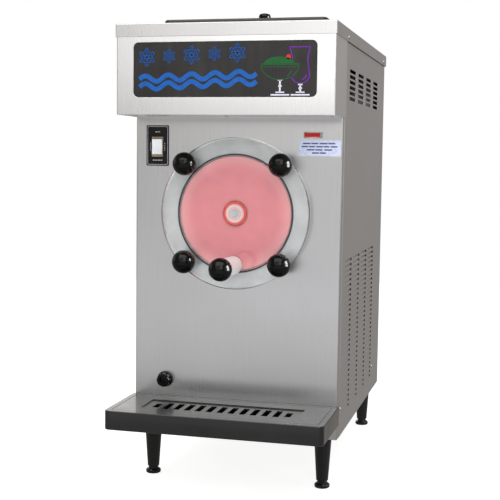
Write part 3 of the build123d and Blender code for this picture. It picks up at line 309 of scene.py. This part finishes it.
def slush(name, centre):
    """Smooth frozen drink behind the door: mottled pink, paler towards the rim."""
    f = Finish(name)
    mottle = f.noise(55, 5)
    broad = f.noise(16, 3)
    inner = f.tint(f.spread(mottle, 0, 1), (0.70, 0.195, 0.222), (0.77, 0.228, 0.24))
    body = f.tint(f.spread(broad, 0, 0.25), inner, (0.72, 0.25, 0.29))
    rim = f.spread(f.radius(centre), 0.0, 0.75, 0.086, 0.109)
    crystals = f.noise(900, 3)
    return f.done(
        f.principled(
            Base_Color=f.tint(rim, body, (0.88, 0.40, 0.41)),
            Roughness=f.spread(mottle, 0.35, 0.6),
            Subsurface_Weight=0.25,
            Subsurface_Radius=(0.012, 0.004, 0.004),
            Subsurface_Scale=0.4,
            Normal=f.bump(f.math("ADD", mottle, f.math("MULTIPLY", crystals, 0.4)), 0.25, 0.4 * MM),
        )
    )


STAIN_PITCH = 6.2 * MM


def stained(name, centre):
    """White plastic that syrup has stained in faint rings round the shaft."""
    f = Finish(name)
    rings = f.math("SINE", f.math("MULTIPLY", f.radius(centre), 2 * math.pi / STAIN_PITCH))
    blotches = f.noise(240, 4)
    tone = f.tint(f.spread(rings, 0, 1, -1, 1), (0.60, 0.36, 0.37), (0.78, 0.63, 0.64))
    return f.done(
        f.principled(
            Base_Color=f.tint(f.spread(blotches, 0, 0.5), tone, (0.70, 0.42, 0.42)),
            Roughness=f.spread(blotches, 0.3, 0.5),
            Normal=f.bump(blotches, 0.1, 0.1 * MM, f.soft_edges(0.4 * MM)),
        )
    )


def lens(name):
    """Ribbed red lens over a pilot lamp."""
    f = Finish(name)
    ribs = f.add(
        "ShaderNodeTexWave", {"Vector": f.coords, "Scale": 150.0, "Distortion": 0.4}, bands_direction="X"
    ).outputs["Fac"]
    return f.done(
        f.principled(
            Base_Color=f.tint(ribs, (0.36, 0.004, 0.004), (0.62, 0.012, 0.012)),
            Roughness=0.16,
            Specular_IOR_Level=0.35,
            Normal=f.bump(ribs, 0.4, 0.2 * MM),
        )
    )


def printed(name, tone, rough=0.35):
    """Screen-printed ink, not quite even."""
    f = Finish(name)
    cover = f.noise(300, 4)
    base = f.tint(f.spread(cover, 0, 1), tuple(c * 0.85 for c in tone), tuple(min(1, c * 1.12) for c in tone))
    return f.done(
        f.principled(
            Base_Color=base,
            Roughness=f.spread(cover, rough * 0.8, rough * 1.2),
            Specular_IOR_Level=0.25,
            Normal=f.bump(cover, 0.1, 0.05 * MM),
        )
    )


barrel_low, barrel_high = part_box("frozen_drink")
drink_centre = (barrel_low + barrel_high) / 2

finishes = {
    "stainless_sheet": brushed_steel("brushed_stainless", 0.70, 0.27, 0.32),
    "tank_steel": brushed_steel("tank_stainless", 0.62, 0.16, 0.26, ALONG_X),
    "galvanised_sheet": galvanised("galvanised_zinc"),
    "stainless_turned": turned_metal("turned_stainless", 0.55, 0.25),
    "zinc_screw": turned_metal("bright_zinc", 0.72, 0.22),
    "chrome_trim": turned_metal("bright_trim", 0.82, 0.09),
    "cast_aluminium": turned_metal("cast_alloy", 0.45, 0.5),
    "aluminium_fins": fins("fin_aluminium"),
    "copper_tube": copper("drawn_copper"),
    "painted_steel": moulded("black_paint", (0.02, 0.02, 0.022), 0.4, 500, 0.05 * MM, coat=0.3),
    "black_phenolic": polished("black_phenolic", (0.002, 0.002, 0.002), 0.09, gloss=0.2),
    # The grained black's edge tone is raised as a painted highlight along its rims, on top of rubbed wear.
    "black_moulding": moulded(
        "grained_black", (0.008, 0.008, 0.0085), 0.3, 1500, 0.05 * MM, (0.09, 0.09, 0.093), 0.5, 0.4
    ),
    "leg_plastic": polished("gloss_black", (0.003, 0.003, 0.0035), 0.14, gloss=0.5),
    "clear_acrylic": clear_acrylic("clear_acrylic"),
    "white_acetal": moulded("white_acetal", (0.84, 0.82, 0.81), 0.3, 900, 0.03 * MM, (0.93, 0.92, 0.91)),
    "black_rubber": moulded("black_rubber", (0.012, 0.012, 0.013), 0.6, 900, 0.06 * MM),
    "sign_acrylic": polished("sign_charcoal", (0.020, 0.019, 0.0185), 0.22, 0.01, gloss=0.25),
    "lamp_glass": moulded("frosted_glass", (0.86, 0.86, 0.83), 0.25, 700, 0.03 * MM),
    "pink_ice": slush("pink_slush", drink_centre),
    "red_lens": lens("ribbed_red_lens"),
    "tan_plastic": moulded("tan_bezel", (0.30, 0.21, 0.10), 0.3, 900, 0.04 * MM, (0.5, 0.4, 0.25)),
    "white_plastic": moulded("white_rocker", (0.80, 0.83, 0.86), 0.22, 900, 0.03 * MM, (0.95, 0.95, 0.96)),
    "black_plate": polished("switch_plate_black", (0.005, 0.005, 0.006), 0.25, 0.01, gloss=0.25),
    "white_foam": moulded("insulating_foam", (0.78, 0.74, 0.62), 0.8, 260, 0.5 * MM, (0.85, 0.82, 0.74)),
}
# Painted shade: near-black steel for the cut edges and inner faces round the louvres, where plain steel left
# bright specks.
painted_shade_steel = moulded(
    "painted_shade_steel", (0.012, 0.012, 0.011), 0.6, 500, 0.05 * MM, (0.02, 0.02, 0.02), gloss=0.2
)

for part in frame["record"]["subparts"]:
    shown = frame["nodes"][part["node"]]
    shown.data.materials.clear()
    shown.data.materials.append(finishes[part["material_slot"]])
# A brighter sheet for the header, painted lighter than the front panel's same steel as painted light from
# above, and a more matt steel for the barrel's flange.
frame["nodes"]["header_shroud"].data.materials[0] = brushed_steel("header_painted_light_stainless", 0.90, 0.27, 0.32)
frame["nodes"]["barrel"].data.materials[0] = turned_metal("bright_flange", 0.60, 0.5)


# ---- Mesh helpers -------------------------------------------------------------------------------


def mesh_object(name, bm, material, smooth=False):
    mesh = bpy.data.meshes.new(name)
    bmesh.ops.recalc_face_normals(bm, faces=bm.faces[:])
    bm.to_mesh(mesh)
    bm.free()
    for face in mesh.polygons:
        face.use_smooth = smooth
    made = bpy.data.objects.new(name, mesh)
    mesh.materials.append(material)
    bpy.context.scene.collection.objects.link(made)
    return made


def piece(name, bm, material, body, smooth=False):
    """A finished mesh that rides on a CAD body."""
    made = mesh_object(name, bm, material, smooth)
    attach(made, body)
    return made


def axis_of(low, high):
    """Middle of a box in x and z, where a line along Y runs through it."""
    return ((low.x + high.x) / 2, (low.z + high.z) / 2)


def rounded_box(centre, width, height, radius, steps=6):
    """Outline of an upright rectangle with round corners, as (x, z) points."""
    points = []
    for quarter, (side, rise) in enumerate(((1, 1), (-1, 1), (-1, -1), (1, -1))):
        middle_x = centre[0] + side * (width / 2 - radius)
        middle_z = centre[1] + rise * (height / 2 - radius)
        for step in range(steps + 1):
            angle = math.radians(90 * (quarter + step / steps))
            points.append((middle_x + radius * math.cos(angle), middle_z + radius * math.sin(angle)))
    return points


def slab(bm, outline, front, back):
    """Flat plate with this (x, z) outline, from one y to another."""
    face = bm.faces.new([bm.verts.new((x, back, z)) for x, z in outline])
    moved = bmesh.ops.extrude_face_region(bm, geom=[face])["geom"]
    fresh = [v for v in moved if isinstance(v, bmesh.types.BMVert)]
    bmesh.ops.translate(bm, verts=fresh, vec=(0, front - back, 0))


def frame_slab(bm, outer, inner, front, back):
    """Flat ring between two outlines with the same number of points."""
    rings = []
    for outline, y in ((outer, back), (outer, front), (inner, front), (inner, back)):
        rings.append([bm.verts.new((x, y, z)) for x, z in outline])
    count = len(outer)
    for first, second in zip(rings, rings[1:] + rings[:1]):
        for i in range(count):
            j = (i + 1) % count
            bm.faces.new((first[i], first[j], second[j], second[i]))


def ribbon(bm, points, width, front, back, closed=False):
    """Flat line of constant width through (x, z) points."""
    count = len(points)
    edges = []
    for i, point in enumerate(points):
        before = points[(i - 1) % count] if closed or i > 0 else point
        after = points[(i + 1) % count] if closed or i < count - 1 else point
        along = Vector((after[0] - before[0], after[1] - before[1])).normalized()
        across = Vector((-along.y, along.x)) * width / 2
        here = Vector(point)
        edges.append((here + across, here - across))
    rows = []
    for left, right in edges:
        rows.append([bm.verts.new((p.x, y, p.y)) for p, y in
                     ((left, back), (left, front), (right, front), (right, back))])
    last = count if closed else count - 1
    for i in range(last):
        first, second = rows[i], rows[(i + 1) % count]
        for side in range(4):
            other = (side + 1) % 4
            bm.faces.new((first[side], first[other], second[other], second[side]))
    if not closed:
        bm.faces.new(rows[0])
        bm.faces.new(rows[-1])


def lathe(bm, profile, centre, turns=96, closed=True):
    """Turned shape about a line along Y, from (y, radius) points."""
    rings = []
    for y, radius in profile:
        rings.append([
            bm.verts.new((
                centre[0] + radius * math.cos(2 * math.pi * step / turns),
                y,
                centre[1] + radius * math.sin(2 * math.pi * step / turns),
            ))
            for step in range(turns)
        ])
    pairs = list(zip(rings, rings[1:]))
    if closed:
        pairs.append((rings[-1], rings[0]))
    for first, second in pairs:
        for i in range(turns):
            j = (i + 1) % turns
            bm.faces.new((first[i], first[j], second[j], second[i]))


def arc(centre, radii, start, end, steps=24):
    """(x, z) points along an ellipse, between two angles in degrees."""
    angles = [math.radians(start + (end - start) * step / steps) for step in range(steps + 1)]
    return [(centre[0] + radii[0] * math.cos(a), centre[1] + radii[1] * math.sin(a)) for a in angles]


# ---- Sign artwork: drinks, waves and snowflakes -------------------------------------------------

INK = 0.25 * MM
sign_low, sign_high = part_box("sign_panel")
sign_centre = (0.0, (sign_low.z + sign_high.z) / 2)
inks = {
    "blue": printed("ink_blue", (0.006, 0.085, 0.34)),
    "dark_blue": printed("ink_dark_blue", (0.006, 0.065, 0.26)),
    "green": printed("ink_green", (0.008, 0.085, 0.02)),
    "purple": printed("ink_purple", (0.13, 0.014, 0.29)),
    "white": printed("ink_white", (0.62, 0.62, 0.72)),
    "red": printed("ink_red", (0.45, 0.03, 0.02)),
    "silver": printed("ink_silver", (0.40, 0.37, 0.40), 0.25),
    "label_blue": printed("ink_label_blue", (0.07, 0.08, 0.25)),
    "label": printed("label_stock", (0.60, 0.66, 0.84), 0.4),
}


def on_sign(points):
    """Points given in millimetres from the sign's middle."""
    return [(sign_centre[0] + x * MM, sign_centre[1] + z * MM) for x, z in points]


def sign_piece(name, lines, ink):
    """Lines are (points, width, closed) in millimetres; a width of 0 fills the outline."""
    bm = bmesh.new()
    front, back = sign_low.y - INK, sign_low.y + INK
    for points, width, closed in lines:
        if width:
            ribbon(bm, on_sign(points), width * MM, front, back, closed)
        else:
            slab(bm, on_sign(points), front, back)
    return piece(name, bm, inks[ink], "cabinet")


FLAKE_ARMS = 6


def snowflake(x, z, size):
    """Six branched arms."""
    lines = []
    for arm in range(FLAKE_ARMS):
        turn = math.radians(30 + 360 / FLAKE_ARMS * arm)
        along = Vector((math.cos(turn), math.sin(turn)))
        lines.append(([(x, z), (x + along.x * size, z + along.y * size)], size * 0.15, False))
        for reach, twig in ((0.45, 0.34), (0.72, 0.24)):
            for side in (-1, 1):
                bent = turn + side * math.radians(58)
                root = (x + along.x * size * reach, z + along.y * size * reach)
                tip = (root[0] + math.cos(bent) * size * twig, root[1] + math.sin(bent) * size * twig)
                lines.append(([root, tip], size * 0.11, False))
    return lines


def wave(left, right, base, swing, crests, rise):
    """A swell that climbs a little from left to right."""
    steps = crests * 16
    points = []
    for step in range(steps + 1):
        share = step / steps
        z = base + rise * share + swing * math.sin(2 * math.pi * crests * share)
        points.append((left + (right - left) * share, z))
    return points


sign_piece(
    "sign_snowflakes",
    sum((snowflake(-146 + 43 * i, 23 + 1.5 * i, 17 - i % 2 * 4) for i in range(5)), []),
    "dark_blue",
)
sign_piece(
    "sign_waves",
    [(wave(-160, 62, -17 - 14 * row, 5.5, 5, 9), 8.5, False) for row in range(2)],
    "blue",
)

CUP_X = 105.0
TALL_X = 142.0
sign_piece(
    "sign_wide_glass",
    [
        (arc((CUP_X, 8), (35, 27), 180, 360), 1.6, False),
        ([(CUP_X - 36, 8), (CUP_X + 36, 8)], 2.6, False),
        ([(CUP_X - 33, 3.5), (CUP_X + 33, 3.5)], 1.2, False),
        (arc((CUP_X + 11, -2), (9, 11), 285, 350, 8), 2.4, False),
        (arc((CUP_X - 2, 8.5), (28, 13), 0, 180, 24), 0, False),
    ],
    "green",
)
sign_piece(
    "sign_tall_glass",
    [
        (
            arc((TALL_X, -6), (18, 20), 200, 340, 20)
            + arc((TALL_X - 2, 20), (15.5, 14), -18, 8, 6)
            + [(TALL_X + 17, 38)],
            1.8,
            False,
        ),
        (arc((TALL_X - 1, -6), (13, 14), 285, 340, 8), 2.2, False),
        ([(TALL_X - 21, 38), (TALL_X + 18, 38)], 1.8, False),
        ([(TALL_X - 20, 38), (TALL_X - 14, 17)], 1.8, False),
    ],
    "purple",
)
sign_piece("sign_cherry", [(arc((CUP_X + 15, 21), (4.5, 4.5), 0, 345, 20), 0, False)], "red")
stems = []
for stem_x, stem_top in ((CUP_X, -20.0), (TALL_X, -28.0)):
    stems += [
        ([(stem_x - 4, stem_top), (stem_x + 4, stem_top)], 2.4, False),
        ([(stem_x, stem_top), (stem_x, -41)], 3.0, False),
        (arc((stem_x, (stem_top - 41) / 2), (3.4, 2.2), 0, 340, 16), 0, False),
        ([(stem_x - 8, -41.5), (stem_x + 8, -41.5)], 2.2, False),
        ([(stem_x - 17, -46), (stem_x + 17, -46)], 2.6, False),
    ]
sign_piece("sign_stems", stems, "white")


# ---- Small trim on the front panel --------------------------------------------------------------

panel_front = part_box("front_panel")[0].y
LABEL_CENTRE = (0.1602, 0.6520)
PRINT = 0.1 * MM
LABEL_SIZE = (80.6 * MM, 29.4 * MM)
LABEL_LINES = ((0.80, 4), (0.86, 5), (0.62, 3), (0.36, 2))


def label():
    """Pale label with four rows of plain bars in place of words."""
    stock = 0.3 * MM
    bm = bmesh.new()
    outline = rounded_box(LABEL_CENTRE, *LABEL_SIZE, 1.2 * MM)
    slab(bm, outline, panel_front - stock, panel_front + stock)
    piece("front_label", bm, inks["label"], "cabinet")
    bm = bmesh.new()
    face = panel_front - stock
    pitch = LABEL_SIZE[1] / (len(LABEL_LINES) + 1)
    for row, (share, words) in enumerate(LABEL_LINES):
        z = LABEL_CENTRE[1] + LABEL_SIZE[1] / 2 - pitch * (row + 1)
        width = LABEL_SIZE[0] * share
        x = LABEL_CENTRE[0] - width / 2
        for word in range(words):
            length = width / words * (0.82 if word % 2 else 0.9)
            bar = rounded_box((x + length / 2, z), length, 2.5 * MM, 0.5 * MM, 2)
            slab(bm, bar, face - PRINT, face + PRINT)
            x += width / words
    piece("front_label_rows", bm, inks["label_blue"], "cabinet")


def switch_trim():
    """Silver border and small marks printed on the switch plate."""
    low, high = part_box("switch_plate")
    centre = axis_of(low, high)
    width, height = high.x - low.x, high.z - low.z
    front, back = low.y - PRINT, low.y + PRINT
    bm = bmesh.new()
    inset, line, corner = 2.0 * MM, 1.0 * MM, 2.8 * MM
    outer = rounded_box(centre, width - 2 * inset, height - 2 * inset, corner)
    hole = inset + line
    inner = rounded_box(centre, width - 2 * hole, height - 2 * hole, corner - line)
    frame_slab(bm, outer, inner, front, back)
    piece("switch_border", bm, inks["silver"], "cabinet")
    bezel_low, bezel_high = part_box("switch_bezel")
    bm = bmesh.new()
    above = (bezel_high.z + high.z) / 2 - 1.5 * MM
    below = (bezel_low.z + low.z) / 2 + 2.0 * MM
    for bars, z in ((2, above), (4, below)):
        for bar in range(bars):
            x = centre[0] + (bar - (bars - 1) / 2) * 5.2 * MM
            slab(bm, rounded_box((x, z), 4.2 * MM, 1.9 * MM, 0.4 * MM, 2), front, back)
    for side in (-1, 1):
        x = centre[0] + side * ((bezel_high.x - bezel_low.x) / 2 + 3.2 * MM)
        for dot in range(4):
            z = (bezel_low.z + bezel_high.z) / 2 + (dot - 1.5) * 4.2 * MM
            slab(bm, rounded_box((x, z), 1.4 * MM, 2.6 * MM, 0.3 * MM, 2), front, back)
    piece("switch_marks", bm, inks["silver"], "cabinet")


label()
switch_trim()


# ---- Frozen drink, and what shows of the front bearing ------------------------------------------


# Turned details as (radius, depth below the bearing's front face), in millimetres.
BEARING_GROOVES = ((18.9, 0.6), (18.2, 0.6), (18.0, 0.0), (13.6, 0.0), (13.3, 0.8), (12.3, 0.8), (12.0, 0.0))
SYRUP_RING = ((22.7, 0.62), (22.5, -0.2), (18.6, -0.2), (18.4, 0.62))
SHAFT_HOLE = 8.55 * MM
STUD_HOLE = 5.3 * MM
DOOR_EASE = 0.9 * MM
DOOR_KNOBS = [f"door_knob_{place}" for place in ("lower_left", "upper_left", "lower_right", "upper_right")]


def drill(bm, centre, radius, front, back, turns):
    """A solid pin, to be cut away."""
    lathe(bm, [(front, 0), (front, radius), (back, radius), (back, 0)], centre, turns, closed=False)


def drink_face():
    """The drink's face against the door, with soft swirls left by the beater."""
    centre = (drink_centre.x, drink_centre.z)
    bearing_low, bearing_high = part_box("front_bearing")
    hole = (bearing_high.x - bearing_low.x) / 2 + 0.2 * MM
    outer = barrel_high.x - drink_centre.x
    front, back = barrel_low.y, barrel_high.y
    profile = [(back, hole), (back, outer), (front + 2.5 * MM, outer), (front + 0.8 * MM, outer - 0.7 * MM)]
    rings = 22
    for ring in range(rings + 1):
        radius = outer - 2 * MM - (outer - 2 * MM - hole) * ring / rings
        profile.append((front + 0.45 * MM, radius))
    bm = bmesh.new()
    lathe(bm, profile, centre, 128)
    swirls = [(dice.uniform(0, 2 * math.pi), dice.uniform(20, 60), dice.randint(2, 5)) for _ in range(5)]
    for vert in bm.verts:
        if vert.co.y < front + 1 * MM:
            x, z = vert.co.x - centre[0], vert.co.z - centre[1]
            radius, angle = math.hypot(x, z), math.atan2(z, x)
            lift = sum(math.sin(phase + arms * angle + wind * radius * 2) for phase, wind, arms in swirls)
            vert.co.y += 0.07 * MM * lift
    made = piece("drink_face", bm, finishes["pink_ice"], "cabinet", smooth=True)
    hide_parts("frozen_drink")


def bearing_face():
    """Grooved white bearing, with a ring of red syrup in its outer groove."""
    low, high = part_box("front_bearing")
    centre = axis_of(low, high)
    rim = (high.x - low.x) / 2
    flange = low.y + 4.5 * MM
    profile = [(high.y, SHAFT_HOLE), (high.y, 17.1 * MM), (flange, 18.6 * MM), (flange, rim)]
    profile += [(low.y + 0.6 * MM, rim)]
    profile += [(low.y + sunk * MM, radius * MM) for radius, sunk in BEARING_GROOVES]
    profile += [(low.y, 9.3 * MM), (low.y + 0.7 * MM, SHAFT_HOLE)]
    bm = bmesh.new()
    lathe(bm, profile, centre, 96)
    made = piece("bearing_face", bm, stained("stained_acetal", drink_centre), "door")
    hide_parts("front_bearing")
    bm = bmesh.new()
    lathe(bm, [(low.y + sunk * MM, radius * MM) for radius, sunk in SYRUP_RING], centre, 96)
    piece("syrup_ring", bm, printed("syrup_red", (0.72, 0.07, 0.04), 0.2), "door", smooth=True)


def door_disc():
    """Clear disc with its stud and valve holes, solid round the bearing so that no air gap shows."""
    low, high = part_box("door")
    centre = (drink_centre.x, drink_centre.z)
    radius = (high.x - low.x) / 2
    bm = bmesh.new()
    profile = [(low.y, 0.0), (low.y, radius - DOOR_EASE)]
    profile += [(low.y + DOOR_EASE * 0.3, radius - DOOR_EASE * 0.3), (low.y + DOOR_EASE, radius)]
    profile += [(high.y - DOOR_EASE, radius), (high.y, radius - DOOR_EASE), (high.y, 0.0)]
    lathe(bm, profile, centre, 128, closed=False)
    bmesh.ops.remove_doubles(bm, verts=bm.verts[:], dist=1e-7)
    disc = piece("door_disc", bm, finishes["clear_acrylic"], "door")
    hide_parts("door")
    drills = bmesh.new()
    for node in DOOR_KNOBS:
        drill(drills, axis_of(*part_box(node)), STUD_HOLE, low.y - MM, high.y + MM, 40)
    valve_low, valve_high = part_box("valve_body")
    bore = (valve_high.x - valve_low.x) / 2 + 0.05 * MM
    drill(drills, axis_of(valve_low, valve_high), bore, low.y - MM, valve_high.y, 64)
    bmesh.ops.remove_doubles(drills, verts=drills.verts[:], dist=1e-7)
    cutter = mesh_object("door_drills", drills, finishes["clear_acrylic"])
    cut = disc.modifiers.new("holes", "BOOLEAN")
    cut.operation = "DIFFERENCE"
    cut.solver = "EXACT"
    cut.object = cutter
    graph = bpy.context.evaluated_depsgraph_get()
    drilled = bpy.data.meshes.new_from_object(disc.evaluated_get(graph))
    disc.modifiers.clear()
    disc.data = drilled
    bpy.data.objects.remove(cutter)


drink_face()
bearing_face()
door_disc()


# ---- Side panels: punched vents and pressed louvres ---------------------------------------------

SHEET = 1.2 * MM
SIDE_FACE = 203.5 * MM
COLUMNS = 4
VENT_SIZE = (76 * MM, 6.9 * MM)
VENT_START = 66.7 * MM
VENT_PITCH = 107 * MM
VENT_TOP = 800.5 * MM
VENT_DROP = -10.45 * MM
VENT_ROWS = 6
LOUVRE_LENGTH = 79 * MM
LOUVRE_HEIGHT = 6.6 * MM
LOUVRE_DEPTH = 3.7 * MM
LOUVRE_START = 55 * MM
LOUVRE_PITCH = 102 * MM
LOUVRE_TOP = 431 * MM
LOUVRE_DROP = -10.15 * MM
LOUVRE_ROWS = 30
BLADE_RISE = 5.6 * MM
BLADE_WALL = 0.8 * MM
BLADE_END_GAP = 0.5 * MM
# The plate of painted shade behind a blade's rear end: how far it stands off, and how low it starts.
SHADE_GAP = 0.2 * MM
SHADE_FOOT = 1.5 * MM
# Faces that look outwards less than this, as a cosine, get the painted shade.
OUTWARD = 0.2


def spans(first, length, pitch, count):
    return [(first + pitch * i, first + pitch * i + length) for i in range(count)]


def blade(bm, side, start, end, foot):
    """One louvre: the sheet pressed inwards from its lower edge, cut free at the top and both ends."""
    around = 6
    skins = []
    for skin in (0.0, BLADE_WALL):
        rows = []
        for i in range(around + 1):
            share = i / around
            sunk = LOUVRE_DEPTH * (0.8 * share + 0.2 * share**2)
            z = foot + BLADE_RISE * share - skin * 0.6
            x = side * (SIDE_FACE - sunk - skin * 0.8)
            rows.append([bm.verts.new((x, y, z)) for y in (start, end)])
        skins.append(rows)
    outer, inner = skins
    # A plate of painted shade stands behind the blade's rear end.
    shade = [(SHEET, SHADE_FOOT), (SHEET, LOUVRE_HEIGHT)]
    shade += [(LOUVRE_DEPTH, LOUVRE_HEIGHT), (LOUVRE_DEPTH, BLADE_RISE)]
    y = end + SHADE_GAP
    bm.faces.new([bm.verts.new((side * (SIDE_FACE - deep), y, foot + rise)) for deep, rise in shade])
    loop = outer + inner[::-1]
    for first, second in zip(loop, loop[1:] + loop[:1]):
        bm.faces.new((first[0], first[1], second[1], second[0]))
    for i in range(around):
        for edge in (0, 1):
            bm.faces.new((outer[i][edge], outer[i + 1][edge], inner[i + 1][edge], inner[i][edge]))


def side_panel(side, node):
    """Plate on a lattice of cut lines, with the cells of the vents and louvres left out."""
    low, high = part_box(node)
    machine_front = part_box("front_panel")[0].y
    vent_y = spans(machine_front + VENT_START, VENT_SIZE[0], VENT_PITCH, COLUMNS)
    vent_z = spans(VENT_TOP - VENT_SIZE[1] / 2, VENT_SIZE[1], VENT_DROP, VENT_ROWS)
    mouth_y = spans(machine_front + LOUVRE_START, LOUVRE_LENGTH, LOUVRE_PITCH, COLUMNS)
    mouth_z = spans(LOUVRE_TOP, LOUVRE_HEIGHT, LOUVRE_DROP, LOUVRE_ROWS)
    lines_y = sorted({low.y, high.y, *(v for pair in vent_y + mouth_y for v in pair)})
    lines_z = sorted({low.z, high.z, *(v for pair in vent_z + mouth_z for v in pair)})
    bm = bmesh.new()
    corners = {}

    def corner(i, k):
        if (i, k) not in corners:
            corners[i, k] = bm.verts.new((side * SIDE_FACE, lines_y[i], lines_z[k]))
        return corners[i, k]

    def cut(y, z):
        for ys, zs in ((vent_y, vent_z), (mouth_y, mouth_z)):
            if any(a < y < b for a, b in ys) and any(a < z < b for a, b in zs):
                return True
        return False

    for i in range(len(lines_y) - 1):
        for k in range(len(lines_z) - 1):
            middle = ((lines_y[i] + lines_y[i + 1]) / 2, (lines_z[k] + lines_z[k + 1]) / 2)
            if not cut(*middle):
                bm.faces.new((corner(i, k), corner(i + 1, k), corner(i + 1, k + 1), corner(i, k + 1)))
    sheet = bm.faces[:]
    moved = bmesh.ops.extrude_face_region(bm, geom=sheet)["geom"]
    fresh = [v for v in moved if isinstance(v, bmesh.types.BMVert)]
    bmesh.ops.translate(bm, verts=fresh, vec=(-side * SHEET, 0, 0))
    for start, end in mouth_y:
        for foot, _ in mouth_z:
            blade(bm, side, start + BLADE_END_GAP, end - BLADE_END_GAP, foot)
    made = piece(f"{node}_pressed", bm, finishes["stainless_sheet"], "cabinet")
    # Inner faces and cut edges round the louvres get the near-black painted shade.
    made.data.materials.append(painted_shade_steel)
    for facet in made.data.polygons:
        y, z = facet.center.y, facet.center.z
        by_louvres = mouth_y[0][0] - MM < y < high.y - MM and low.z + MM < z < mouth_z[0][1] + MM
        if by_louvres and facet.normal.x * side < OUTWARD:
            facet.material_index = 1
    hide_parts(node)


side_panel(1, "right_side_panel")
side_panel(-1, "left_side_panel")


# ---- Floor, light and camera --------------------------------------------------------------------

FLOOR_REACH = 3.3


def make_floor():
    f = Finish("pale_floor")
    grain = f.noise(30, 4)
    colour = f.tint(f.spread(grain, 0, 1), grey(0.66), grey(0.70))
    shader = f.principled(
        Base_Color=colour,
        Roughness=0.8,
        Emission_Color=(1.0, 1.0, 1.0),
        Emission_Strength=0.8,
        Normal=f.bump(grain, 0.02, 0.5 * MM),
    )
    bm = bmesh.new()
    bmesh.ops.create_circle(bm, cap_ends=True, segments=96, radius=FLOOR_REACH)
    floor = mesh_object("floor", bm, f.done(shader))
    floor.visible_glossy = False


def softbox(name, place, target, width, height, radiance, tint=(1, 1, 1), lit=None):
    """Lamp whose face has this brightness, whatever its size; it may light only some objects."""
    light = bpy.data.lights.new(name, "AREA")
    light.shape = "RECTANGLE"
    light.size = width
    light.size_y = height
    light.energy = radiance * math.pi * width * height
    light.color = tint
    lamp = bpy.data.objects.new(name, light)
    lamp.location = place
    lamp.rotation_euler = (Vector(target) - Vector(place)).to_track_quat("-Z", "Y").to_euler()
    lamp.visible_camera = False
    if lit:
        lamp.light_linking.receiver_collection = lit
    bpy.context.scene.collection.objects.link(lamp)


ROOM = (0.300, 0.284, 0.268)
COOL = (0.94, 0.98, 1.05)
WARM = (1, 0.98, 0.95)
PANE_RADIANCE = 38.0
PANED_SLOTS = ("black_phenolic", "leg_plastic")


def studio():
    """White surroundings for the eye, a dimmer grey room for reflections, and soft lamps."""
    world = bpy.data.worlds.new("studio")
    world.use_nodes = True
    tree = world.node_tree
    tree.nodes.clear()
    seen = tree.nodes.new("ShaderNodeBackground")
    seen.inputs["Color"].default_value = (1, 1, 1, 1)
    room = tree.nodes.new("ShaderNodeBackground")
    room.inputs["Color"].default_value = (*ROOM, 1)
    rays = tree.nodes.new("ShaderNodeLightPath")
    mixed = tree.nodes.new("ShaderNodeMixShader")
    out = tree.nodes.new("ShaderNodeOutputWorld")
    tree.links.new(rays.outputs["Is Camera Ray"], mixed.inputs[0])
    tree.links.new(room.outputs[0], mixed.inputs[1])
    tree.links.new(seen.outputs[0], mixed.inputs[2])
    tree.links.new(mixed.outputs[0], out.inputs["Surface"])
    bpy.context.scene.world = world
    middle = (0, -0.1, 0.5)
    softbox("overhead_box", (0.0, -1.5, 2.9), middle, 3.4, 2.2, 2.8)
    softbox("front_box", (-0.3, -3.4, 2.1), (0, -0.3, 0.8), 3.8, 1.2, 1.0)
    softbox("header_box", (0.15, -3.35, 1.16), (0.15, 0, 1.16), 2.8, 0.5, 1.55)
    softbox("front_right_box", (1.5, -3.1, 1.95), (0, -0.3, 0.8), 1.4, 1.5, 2.4)
    softbox("front_low_box", (0.1, -3.3, 0.3), (0.0, -0.2, 0.45), 3.6, 0.8, 0.45, COOL)
    # Faces up from the ground in front, for the light that a white floor gives back.
    softbox("floor_bounce", (0.1, -2.1, 0.02), (0.1, -2.0, 3.0), 4.0, 2.2, 0.34, COOL)
    softbox("right_fill_box", (3.2, -0.9, 1.2), middle, 2.0, 1.6, 1.1, WARM)
    softbox("left_fill_box", (-3.2, 0.2, 1.3), middle, 2.0, 1.4, 0.6)
    softbox("back_fill_box", (-1.7, 3.1, 1.4), middle, 2.2, 1.8, 1.2)
    # Two window-like panes light only the black knobs and legs: on the steel they bleach the side.
    highlit = bpy.data.collections.new("window_lit")
    for part in frame["record"]["subparts"]:
        if part["material_slot"] in PANED_SLOTS:
            highlit.objects.link(frame["nodes"][part["node"]])
    for name, height, tall in (("right_upper_pane", 1.05, 0.7), ("right_lower_pane", 0.46, 0.36)):
        softbox(name, (1.7, -0.05, height), (0.1, -0.25, 0.6), 0.8, tall, PANE_RADIANCE, lit=highlit)
    bpy.context.scene.view_settings.view_transform = "Standard"


EYE = Vector((0.53264, -2.17747, 0.63030))
YAW = -0.25113
PITCH = -0.08514
ROLL = 0.01315
LENS_MM = 76.69


def make_camera():
    """The camera stands where the object's proportions put it, level apart from a slight roll."""
    forward = Vector((math.sin(YAW) * math.cos(PITCH), math.cos(YAW) * math.cos(PITCH), math.sin(PITCH)))
    level = forward.cross(Vector((0, 0, 1))).normalized()
    upright = level.cross(forward)
    right = level * math.cos(ROLL) + upright * math.sin(ROLL)
    up = upright * math.cos(ROLL) - level * math.sin(ROLL)
    turn = Matrix((right, up, -forward)).transposed().to_4x4()
    data = bpy.data.cameras.new("camera")
    data.sensor_width = 36
    data.lens = LENS_MM
    data.clip_end = 60
    camera = bpy.data.objects.new("camera", data)
    camera.matrix_world = Matrix.Translation(EYE) @ turn
    bpy.context.scene.collection.objects.link(camera)
    bpy.context.scene.camera = camera


make_floor()
studio()
make_camera()
